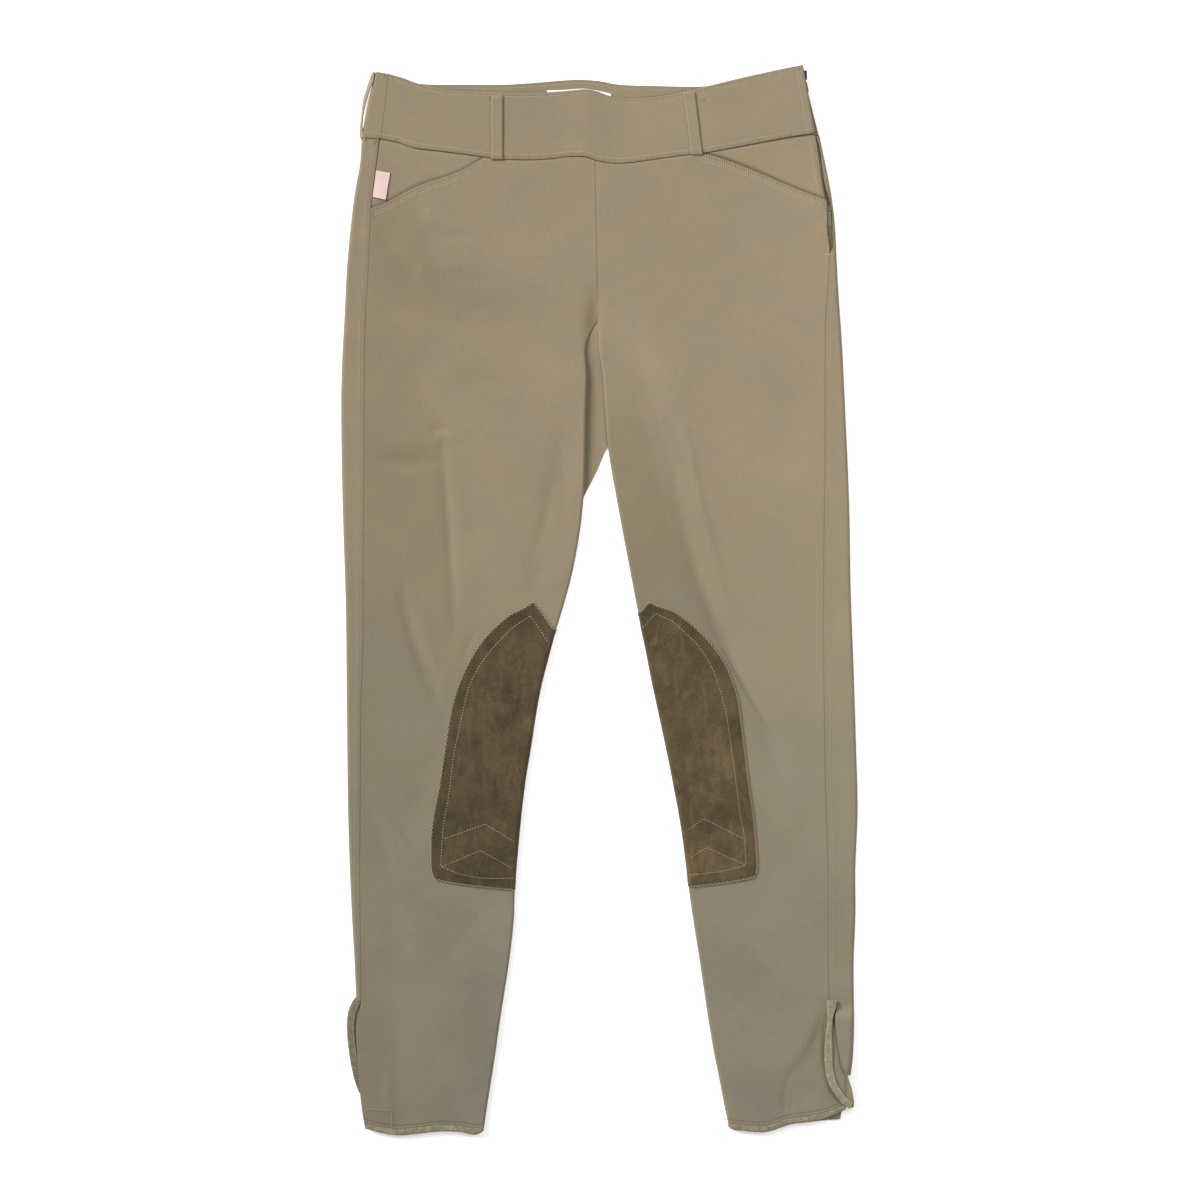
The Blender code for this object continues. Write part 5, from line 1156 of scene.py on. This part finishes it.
flat = curve_through(BAND_BACK, np.linspace(0, len(BAND_BACK) - 1, 150))
radius = (BAND_TOP - BAND_UNDER) / 2
angle = np.linspace(-np.pi / 2, np.pi / 2, 19)
turn = np.array(BAND_FOLD) + (radius * (1 - np.cos(angle)))[:, None] * (1, 0, 1, 0)
strip_end = np.add(BAND_SIDE_SEAM, (0.35, 0, 0.35, 0))
strip = turn[-1] + (strip_end - turn[-1]) * np.linspace(0, 1, 12)[1:, None]**0.8
stations = np.concatenate((flat, turn, strip))
heights = np.concatenate((np.full(len(flat), BAND_UNDER), BAND_UNDER + radius * (1 + np.sin(angle)),
                          np.full(len(strip), BAND_TOP)))
grid, roll = band_grid(stations, heights, across)
out = normals(grid, True)
top, bottom, first, last = edge_distances(grid)
relief = seam_roll(bottom, *FLAT_SEAM) - roll
relief = relief - 0.16 * bell(last - BAND_STITCHES, 1.1) * ease(grid[..., 2], 3.0, 6.0)
grid = grid + out * relief[..., None]
beside = np.minimum(first, last) < np.minimum(top, bottom)
band = shell("band_back", grid, BAND_WALL, KHAKI_TWILL, flip=True, sewn=0.6 * beside)
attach(band, BODY)
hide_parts("waistband_back")
for distance, end in ((BAND_STITCHES, -1), (LOW_STITCHES, 0)):
    line = beside_edge(grid, distance, 1, end)
    band_runs.append(run_of_stitches(line[line[:, 2] > 5.5]))
inside = beside_edge(grid, BAND_STITCHES, 1, -1)[:150]
inside[:, 2] = BAND_UNDER + BAND_WALL
band_runs.append(run_of_stitches(inside))
thread("band_topstitching", band_runs, KHAKI_THREAD)


# ---------------------------------------------------------------- belt loops
# Folded strips of twill, edge-stitched on both sides, their ends turned under and tacked above and
# below the band: two in front, one on each side, one at the centre back.

LOOP_WIDTH = 11.4
LOOP_WALL = 1.1
LOOP_LAY = 0.25
LOOP_BOW = 0.45
SIDE_LOOP_WALL = 0.9
BACK_LOOP_WALL = 0.8
FRONT_LOOPS = {"right": ((-97.8, 418.2), (-97.8, 479.4)), "left": ((92.0, 422.6), (84.5, 482.8))}
# Right side loop: y, x of its lower edge, and how far its upper edge lies inwards.
SIDE_LOOP = ((501.6, -217.0, 2.2), (498.0, -218.7, 3.7), (494.0, -219.9, 4.7), (487.0, -222.3, 4.2),
             (480.0, -224.6, 4.0), (471.4, -226.4, 3.2), (463.0, -227.3, 2.4), (456.0, -228.1, 2.2),
             (449.0, -228.7, 2.3), (446.0, -228.8, 3.2), (441.8, -228.8, 4.4), (438.2, -228.0, 5.0),
             (436.4, -226.6, 3.6))
SIDE_LOOP_LOW, SIDE_LOOP_HIGH = 2.5, 8.0
HIDDEN_LOOPS = {"back": (-24.0, 428.5, 493.0), "side_left": (160.0, 431.5, 496.5)}
# The tacks that hold down the front loops' ends, as they show beside the loops: x, y
KNOTS = (
    ((-104.0, 478.6), (-106.9, 477.2), (-106.0, 473.4), (-103.6, 470.4)),
    ((-105.8, 474.8), (-103.9, 477.6)),
    ((92.2, 477.4), (95.6, 475.4), (99.8, 476.2)),
    ((92.6, 474.4), (96.0, 473.6), (99.6, 474.4)),
)

loop_runs = []
u = np.linspace(-1, 1, 17)
for name, (low, high) in FRONT_LOOPS.items():
    along = crowded(np.linspace(0, 1, 60), 0.8)[:, None]
    centre = between(np.array(low), np.array(high), along)
    x = centre[:, :1] + LOOP_WIDTH / 2 * u
    z = band_top(x).max(axis=1, keepdims=True) + LOOP_LAY + LOOP_WALL
    z = z + LOOP_BOW * np.sin(np.pi * along) - 0.7 * np.abs(u)**8 + 0.12 * bell(np.abs(u) - 0.72, 0.12)
    span = along * math.dist(low, high)
    ends = np.minimum(span, span[-1] - span)
    z = z - 0.7 * bell(ends, 0.8) + 0.35 * bell(ends - 4.0, 3.0)
    grid = points(x, centre[:, 1:], z)
    loop = shell(f"loop_front_{name}", grid, LOOP_WALL, KHAKI_TWILL)
    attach(loop, BODY)
    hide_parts(f"belt_loop_front_{name}")
    for column in (2, -3):
        loop_runs.append(run_of_stitches(grid[3:-3, column] - (0.0, 0.0, 0.1)))
    for row in (4, -5):
        loop_runs.append(run_of_stitches(grid[row] + (0.0, 0.0, 0.05), 1.5, 1.4))

y, low_x, lean = curve_through(SIDE_LOOP, np.linspace(0, len(SIDE_LOOP) - 1, 60)).T[..., None]
share = (u + 1) / 2
grid = points(low_x + lean * share, y, between(SIDE_LOOP_LOW, SIDE_LOOP_HIGH, share))
grid = grid - normals(grid, True) * 0.35 * np.abs(u)[:, None]**6
loop = shell("loop_side_right", grid, SIDE_LOOP_WALL, KHAKI_TWILL, flip=True)
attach(loop, BODY)
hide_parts("belt_loop_side_right")

for name, (x, low, high) in HIDDEN_LOOPS.items():
    y = np.linspace(low, high, 40)[:, None]
    grid = points(x + LOOP_WIDTH / 2 * u, y, 0.5 * np.abs(u)**8)
    loop = shell(f"loop_{name}", grid, BACK_LOOP_WALL, KHAKI_TWILL, flip=True)
    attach(loop, BODY)
    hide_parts(f"belt_loop_{name}")
for knot in KNOTS:
    x, y = np.transpose(knot)
    place = points(x, y, band_top(x) + 0.3)
    loop_runs.append((place[:-1], place[1:]))
thread("loop_stitching", loop_runs, SEAM_THREAD, 0.25)


# ---------------------------------------------------------------- pocket facings
# The piece of twill that shows above each slant opening. It is sewn into the waist seam and the
# side seam and runs down behind the opening.

FACING_WALL = 0.9
# By side: the facing's inner end and the upper and lower end of its outer edge in x; the middle, half
# width and depth of the opening's gape; the depth and height of the shade in it.
FACINGS = {-1: (-107.0, -209.3, -217.5, -165.0, 40.0, 0.3, 0.4, 1.1),
           1: (94.0, 203.6, 213.6, 140.0, 34.0, 1.1, 0.55, 2.0)}
PLACKET = ((443.1, 204.4), (421.8, 207.8), (397.8, 210.7), (380.5, 214.4))
FACING_DEPTH = np.array([0, 0.02, 0.06, 0.14, 0.25, 0.38, 0.52, 0.66, 0.78, 0.88, 0.95, 1.0])

facing_runs = []
for side, name in SIDES:
    inner_end, outer_top, outer_low, middle, spread, gape, shade, shade_reach = FACINGS[side]
    t = packed(np.linspace(0, 1, 70), 1.2)
    top_x, low_x = between(outer_top, inner_end, t), between(outer_low, inner_end, t)
    top_y = line_through(BAND_LOWER_EDGE, top_x) - EDGE_GAP
    shown = np.maximum(top_y - front_edge(side, low_x) - 3.0, 2.0)
    depth = np.concatenate((FACING_DEPTH[:, None] * shown, shown + np.array([[2], [6], [10], [15]])))
    x = between(top_x, low_x, np.clip(depth / shown, 0, 1))
    if side > 0:
        front_x = line_through(PLACKET, top_y[0] - depth[:, 0]) - SEAM
        x = x + (front_x - x[:, 0])[:, None] * (1 - t)**6 * (depth[:, :1] <= shown[0])
    y = top_y - depth
    above = y - front_edge(side, x)
    hollow = 0.2 + gape * bell(x - middle, spread)
    deep = CLOTH_WALL + 0.1 + hollow
    z = cloth_top(x, y) - deep + ease(above, 0.0, 1.4 + 2.5 * hollow) * (deep - 0.3)
    grid = points(x, y, z)
    top, _, first, _ = edge_distances(grid)
    grid[..., 2] += seam_roll(top) + seam_roll(first, 0.3)
    facing = shell(f"facing_{name}", grid, FACING_WALL, KHAKI_TWILL, flip=side < 0,
                   sewn=0.6 * (first < 7) * (side > 0),
                   tone=1 - shade * bell(np.maximum(above, 0), shade_reach))
    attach(facing, BODY)
    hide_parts(f"pocket_facing_{name}")
    if side > 0:
        facing_runs.append(run_of_stitches(beside_edge(grid[:-4], 5.6, 1)))
thread("facing_stitching", facing_runs, KHAKI_THREAD)


# ---------------------------------------------------------------- ankle flaps
# A curved extension of the back closes each ankle slit. Its edge is bound with a bias strip, and
# the strip's turned edge is stitched down on top.

FLAP_WALL = 0.9
BINDING_WALL = 0.7
BINDING_ROOM = 0.4
BINDING_WIDTH = 6.0
FLAP_WIDTH = 15.0
BINDING_LUMP = 2.7
RIGHT_FLAP_HEIGHT = 3.8
# Outer edge of each flap, and inner edge and binding's width of the left one: y, x or width
FLAPS = {
    -1: ((-378.5, -232.8), (-382.5, -235.4), (-388.0, -238.2), (-397.6, -240.2), (-412.3, -240.3),
         (-424.2, -239.2), (-446.5, -235.6), (-460.8, -231.8), (-468.0, -229.0)),
    1: ((-379.9, 215.3), (-394.0, 215.8), (-405.7, 215.8), (-413.0, 214.5), (-421.9, 213.8),
        (-442.8, 213.8), (-452.0, 215.3), (-459.4, 217.6), (-466.6, 221.6), (-473.0, 226.2),
        (-478.5, 231.6), (-481.6, 236.2)),
}
LEFT_FLAP_HIDDEN = ((-379.9, 224.4), (-394.0, 222.6), (-401.0, 222.5), (-405.0, 226.5), (-410.0, 231.5),
                    (-437.0, 233.0), (-449.0, 234.2), (-455.8, 236.4), (-464.0, 239.0), (-471.2, 240.4),
                    (-477.0, 241.1), (-481.6, 240.4))
LEFT_BINDING_REACH = ((-379.9, 8.2), (-386.0, 7.6), (-393.0, 5.0), (-400.0, 3.6), (-406.0, 3.6),
                      (-420.0, 5.4), (-481.6, 5.6))


def bias_binding(name, base, shade, pale):
    """Bias-cut cotton binding, softer and greener than the twill: its weave runs at 45 degrees and
    it cockles where it goes round a curve."""
    material, tree, shader = new_surface(name, {
        "Roughness": 0.85, "Sheen Weight": 0.2, "Specular IOR Level": 0.25})
    here = add_node(tree, "TexCoord").outputs["Object"]
    slant = add_node(tree, "VectorMath", {"operation": "DOT_PRODUCT", 0: here, 1: (0.7, 0.7, 0.0)})
    wave = ribs(tree, slant.outputs["Value"], BINDING_LUMP)
    mixed = maths(tree, "MULTIPLY_ADD", wave, 0.06, noise(tree, here, 230.0, detail=3.0))
    color = blend(tree, ramp(tree, mixed, 0.25, 0.55), linear(shade), linear(base))
    color = blend(tree, ramp(tree, mixed, 0.55, 0.8), color, linear(pale))
    tone = attribute_parts(tree, "cut")[1]["Z"]
    tree.links.new(blend(tree, 1.0, color, tone, "MULTIPLY"), shader.inputs["Base Color"])
    tree.links.new(bump(tree, mixed, 0.7, 0.0004), shader.inputs["Normal"])
    return material


OLIVE_BINDING = bias_binding("olive bias binding", "#7B735D", "#696150", "#908870")
PROFILE_STEPS = 26


def binding_profile(edge, inward, out, wall, width):
    """Hairpin round a raw edge: the smooth curve through outer layer, nose and inner layer."""
    above = BINDING_ROOM + BINDING_WALL + 0.1
    below = wall + above
    nose = BINDING_WALL + SEAM + 0.25
    steps = ((width, above), (width * 0.5, above + 0.1), (-0.2, above), (-nose, above - 1.0),
             (-nose, 1.0 - below), (-0.2, -below), (width * 0.5, -below), (width - 0.8, -below))
    rows = np.stack([(edge + inward * reach + out * height).ravel() for reach, height in steps])
    fine = curve_through(rows, np.linspace(0, len(steps) - 1, PROFILE_STEPS))
    return fine.reshape(PROFILE_STEPS, *edge.shape)


def cockled(profile, length, height, sway, flip):
    """Raises and lowers a binding along its length by a sine that a slower one bends."""
    lump = height * np.sin(2 * np.pi * length / BINDING_LUMP + 0.8 * np.sin(length / sway))
    return profile + normals(profile, flip) * lump[:, None]


def hem_rise(y):
    """How much higher things lie where a front passes over its hem's turned binding."""
    return HEM_UNDER * ease(-y, 458.0, 472.0)


flap_runs = []
up = np.array([0.0, 0.0, 1.0])
for side, name in SIDES:
    y = np.linspace(FLAPS[side][0][0], FLAPS[side][-1][0], 90)[:, None]
    edge = line_through(FLAPS[side], y) + BINDING_WALL + 0.1 + SEAM
    t = np.linspace(0, 1, 14)
    if side < 0:
        reach, z, tone = BINDING_WIDTH, RIGHT_FLAP_HEIGHT, 1.0
        x = between(edge + FLAP_WIDTH, edge, t)
    else:
        reach = line_through(LEFT_BINDING_REACH, y)
        x = between(line_through(LEFT_FLAP_HIDDEN, y), edge, t)
        z = cloth_top(x, y) + hem_rise(y) + LAY + 0.8 + SEAM + 1.0
        # Shade beside the slit's edge, and in the small opening at its upper end.
        tone = 1 - 0.35 * bell(x - line_through(LEFT_SLIT_EDGE, y) + 0.6, 1.3)
        tone = tone * (1 - 0.7 * bell(x - 222.4, 1.6) * bell(y + 400.0, 4.5))
    grid = points(x, y, z)
    flap = shell(f"flap_{name}", grid, FLAP_WALL, KHAKI_TWILL, tone=tone)
    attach(flap, BODY)
    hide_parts(f"ankle_flap_{name}")

    border = grid[:, -1]
    along = np.gradient(border, axis=0)
    inward = unit(np.cross(up, along))
    profile = binding_profile(border, inward, up, FLAP_WALL + 0.1, reach)
    profile = cockled(profile, np.cumsum(np.linalg.norm(along, axis=-1)), 0.14, 5.0, True)
    # The right slit's binding is painted darker, 0.72, as shade where it is turned from the light; the left
    # one is 1.1.
    binding = shell(f"slit_bind_{name}", profile, BINDING_WALL, OLIVE_BINDING, flip=True,
                    tone=0.72 if side < 0 else 1.1)
    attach(binding, BODY)
    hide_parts(f"slit_binding_{name}")
    stitch_line = border + inward * (reach - 1.3) + up * (BINDING_ROOM + BINDING_WALL + 0.2)
    flap_runs.append(run_of_stitches(stitch_line))
thread("slit_stitching", flap_runs, KHAKI_THREAD)


# ---------------------------------------------------------------- bound hems
# The hem of each leg is bound with the same bias strip, in a front and a back length.

HEM_BINDING_WIDTH = 5.0
# Stitching that shows at the right front's lower outer corner: x, y of both ends.
CORNER_STITCHES = (((-222.3, -483.5), (-200.8, -484.9)), ((-198.0, -485.4), (-198.0, -499.7)))

hem_runs = []
for side, name in SIDES:
    flip = side < 0
    front, out = (part[:, :-TURN_COLUMNS + 1] for part in fronts[side][1:])
    back = backs[side][1][:, :INNER_COLUMNS + FLAT_COLUMNS]
    # The back lengths are painted 1.25 times lighter, as painted light where they lie in the front's
    # shadow.
    for part, panel, upward, tone in (("front", front, out, 1.0),
                                      ("back", back, normals(back, flip), 1.25)):
        edge = panel[-1]
        profile = binding_profile(edge, unit(panel[-8] - edge), upward[-8], CLOTH_WALL, HEM_BINDING_WIDTH)
        profile = cockled(profile, length_along(edge), 0.12, 6.0, flip)
        binding = shell(f"hem_{part}_{name}", profile, BINDING_WALL, OLIVE_BINDING, flip, tone=tone)
        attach(binding, BODY)
        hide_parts(f"hem_binding_{part}_{name}")
        if part == "front":
            hem_runs.append(run_of_stitches(beside_edge(panel, HEM_BINDING_WIDTH + 1.4, 0, -1)))
for start, end in CORNER_STITCHES:
    x, y = np.linspace(start, end, 12).T
    hem_runs.append(run_of_stitches(points(x, y, cloth_top(x, y) + hem_rise(y))))
thread("hem_stitching", hem_runs, SEAM_THREAD)


# ---------------------------------------------------------------- labels
# A small folded satin label sewn into the right side seam and a wider one inside the back band.
# Both are plain.

LABEL_WALL = 0.4
# Upper edge of the inside label, which bends with the band: x, y
LABEL_TOP = ((-50.3, 484.3), (-38.0, 484.7), (-28.0, 485.3), (-15.0, 486.0), (-4.8, 484.6),
             (4.0, 482.7), (10.4, 481.0))
LABEL_DEPTH = 19.0
# Corners of the side label: the upper two, which are sewn in, and the lower two: x, y
LABEL_CORNERS = np.array([[(-212.6, 408.0), (-199.3, 405.6)], [(-215.9, 382.8), (-203.6, 380.0)]])


def label_satin(name, color):
    """Woven polyester satin: smooth and slightly glossy, with fine ribs across."""
    material, tree, shader = new_surface(name, {"Roughness": 0.5, "Sheen Weight": 0.3})
    weave = noise(tree, add_node(tree, "TexCoord").outputs["Object"], 180.0)
    tone = ramp(tree, weave, 0.0, 1.0, 0.93, 1.04)
    tree.links.new(blend(tree, 1.0, linear(color), tone, "MULTIPLY"), shader.inputs["Base Color"])
    tree.links.new(bump(tree, weave, 0.3, 0.0002), shader.inputs["Normal"])
    return material


u, v = np.meshgrid(np.linspace(0, 1, 12), np.linspace(0, 1, 18))
upper, lower = (between(*row, u[..., None]) for row in LABEL_CORNERS)
place = between(upper, lower, v[..., None])
base = cloth_top(*np.moveaxis(LABEL_CORNERS, -1, 0)).max() + SEAM + LABEL_WALL
curl = 0.5 * v**2 * (0.4 + u) + 0.25 * np.sin(np.pi * u) * v
label = shell("label_side", points(place[..., 0], place[..., 1], base + curl), LABEL_WALL,
              label_satin("rose white label satin", "#C6ABA7"), flip=True)
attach(label, BODY)
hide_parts("side_label")

x, down = np.meshgrid(np.linspace(LABEL_TOP[0][0], LABEL_TOP[-1][0], 40), np.linspace(0.0, LABEL_DEPTH, 14))
y = line_through(LABEL_TOP, x) - down
z = BAND_UNDER + BAND_WALL + 0.2 + SEAM + LABEL_WALL + 0.15 * np.sin((x + 20) / 9.0)
label = shell("label_inside", points(x, y, z), LABEL_WALL,
              label_satin("white label satin", "#F2F0EC"), flip=True)
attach(label, BODY)
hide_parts("inside_label")


# ---------------------------------------------------------------- side zip
# A closed coil zip under the placket: two woven tapes, the nylon coil, a painted slider with its
# bridge, and the pull tab that hangs from it.

TAPE_WALL = 0.5
# Height of the tapes, lower at the slider: y, z
TAPE_HEIGHTS = ((434.0, 4.9), (394.0, 4.9), (383.0, 3.5), (367.0, 3.5), (358.0, 4.6), (328.0, 4.6))
TAPE_WIDTH = 9.0
# Edges of the front and back tape: y, x. They meet under the coil and part above the slider.
TAPES = {
    "front": ((434.0, 206.3), (418.0, 209.1), (397.8, 211.9), (384.0, 214.6), (376.6, 215.9),
              (367.6, 217.9), (349.0, 218.8), (328.0, 219.3)),
    "back": ((414.0, 210.5), (397.8, 212.9), (384.0, 216.4), (376.8, 219.2), (367.6, 218.7),
             (349.0, 218.9), (328.0, 219.4)),
}
COIL_PITCH = 1.3
COIL_LINE = ((367.6, 218.3), (349.0, 218.8), (331.0, 219.3))
COIL_HALF = 1.45
COIL_RISE = 0.5
COIL_THREAD = 0.42
# Bartack below the zip: its ends in x, the first row's y, and how far apart the rows are.
TACK_FROM, TACK_TO, TACK_Y, TACK_STEP = 213.9, 218.6, 328.6, 0.5


def woven_tape(name, color):
    """Polyester zip tape: a fine herringbone, drawn as small noise."""
    material, tree, shader = new_surface(name, {"Roughness": 0.8})
    weave = noise(tree, add_node(tree, "TexCoord").outputs["Object"], 700.0)
    tone = ramp(tree, weave, 0.0, 1.0, 0.8, 1.15)
    tree.links.new(blend(tree, 1.0, linear(color), tone, "MULTIPLY"), shader.inputs["Base Color"])
    return material


def painted_metal(name, color, metallic, rough):
    """Die-cast zinc, painted or plated: smooth, with fine scratches that change its gloss."""
    material, tree, shader = new_surface(name, {"Base Color": linear(color), "Metallic": metallic})
    scratches = noise(tree, add_node(tree, "TexCoord").outputs["Object"], 600.0, detail=3.0)
    gloss = ramp(tree, scratches, 0.0, 1.0, rough - 0.1, rough + 0.15)
    tree.links.new(gloss, shader.inputs["Roughness"])
    return material


def cover(nodes, material):
    """Gives solids that are kept from the frame their material."""
    for node in nodes:
        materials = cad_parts[node].data.materials
        materials.clear()
        materials.append(material)


ZIP_TAPE = woven_tape("khaki polyester zip tape", "#6E6751")
ZIP_COIL = woven_tape("khaki nylon coil", "#7C745B")
cover(("zip_slider", "zip_pull"), painted_metal("khaki painted zinc", "#6B6551", 0.3, 0.45))
for name, side in (("front", -1), ("back", 1)):
    y = np.linspace(TAPES[name][0][0], TAPES[name][-1][0], 70)[:, None]
    edge = line_through(TAPES[name], y)
    fold = line_through(FOLDED_EDGES[1], y) - 1.6
    far = edge - TAPE_WIDTH if side < 0 else np.clip(fold, edge + 0.4, edge + TAPE_WIDTH)
    t = np.linspace(0, 1, 8)
    grid = points(between(edge, far, t), y, line_through(TAPE_HEIGHTS, y) - 0.15 * t)
    tape = shell(f"tape_{name}", grid, TAPE_WALL, ZIP_TAPE, flip=side > 0)
    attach(tape, BODY)
    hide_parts(f"zip_tape_{name}")

y = np.arange(COIL_LINE[-1][0] + 0.8, COIL_LINE[0][0], COIL_PITCH)
x = line_through(COIL_LINE, y)
z = line_through(TAPE_HEIGHTS, y) + COIL_RISE
start = points(x - COIL_HALF, y, z)
end = points(x + COIL_HALF, y + COIL_PITCH * 0.5, z)
coil = thread("zip_coil", [(start, end)], ZIP_COIL, COIL_THREAD)
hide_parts("zip_chain")
tack = []
for row in range(3):
    x, y = np.linspace(TACK_FROM, TACK_TO, 7), TACK_Y - TACK_STEP * row
    line = points(x, y, cloth_top(x, y) + 0.15)
    tack.append((line[:-1], line[1:]))
thread("zip_bartack", tack, KHAKI_THREAD)


# ---------------------------------------------------------------- waist hook
# A flat nickel-plated hook on the front band and the wire bar that it catches, both sewn between
# the band's two ends.

cover(("waist_hook", "waist_bar"), painted_metal("dark nickel plate", "#4A4844", 1.0, 0.35))


# ---------------------------------------------------------------- floor, light and camera
# A pale, even surface under a large soft window light from the upper left and a softer fill above.

FRAME_WIDTH = 1.14
LENS, SENSOR = 100.0, 36.0
CLOTH_LEVEL = 0.006
FLOOR_HALF, FLOOR_Z = 6.0, -0.0002

floor_mesh = bpy.data.meshes.new("floor")
corners = [(FLOOR_HALF * x, FLOOR_HALF * y, FLOOR_Z) for x, y in ((-1, -1), (1, -1), (1, 1), (-1, 1))]
floor_mesh.from_pydata(corners, [], [(0, 1, 2, 3)])
floor = bpy.data.objects.new("floor", floor_mesh)
bpy.context.scene.collection.objects.link(floor)
floor_paper, _, _ = new_surface("lit white table", {
    "Base Color": linear("#FBFBFB"), "Roughness": 0.9, "Emission Color": (1.0, 1.0, 1.0, 1.0),
    "Emission Strength": 0.32})
floor_mesh.materials.append(floor_paper)

world = bpy.data.worlds.new("studio")
world.use_nodes = True
background = world.node_tree.nodes["Background"].inputs
background["Color"].default_value = (1.0, 1.0, 1.0, 1.0)
background["Strength"].default_value = 0.38
bpy.context.scene.world = world

# Each lamp: name, place, the point it looks at, size, power and colour.
LAMPS = (
    ("window", (-4.6, 3.6, 3.5), (0.0, 0.0, 0.0), 3.2, 720.0, (1.0, 0.99, 0.975)),
    ("fill", (0.45, 0.1, 1.15), (0.3, 0.05, 0.0), 0.7, 7.0, (1.0, 0.995, 0.99)),
)
for name, place, target, size, power, color in LAMPS:
    lamp = bpy.data.lights.new(name, "AREA")
    lamp.size = size
    lamp.energy = power
    lamp.color = color
    item = bpy.data.objects.new(name, lamp)
    item.location = place
    away = unit(np.subtract(target, place))
    item.rotation_euler = (math.acos(-away[2]), 0.0, math.atan2(-away[0], away[1]))
    item.visible_camera = False
    bpy.context.scene.collection.objects.link(item)

lens = bpy.data.cameras.new("camera")
lens.lens = LENS
lens.sensor_width = SENSOR
camera = bpy.data.objects.new("camera", lens)
camera.location = (0.0, 0.0, CLOTH_LEVEL + FRAME_WIDTH * LENS / SENSOR)
bpy.context.scene.collection.objects.link(camera)
bpy.context.scene.camera = camera
bpy.context.scene.view_settings.view_transform = "Standard"
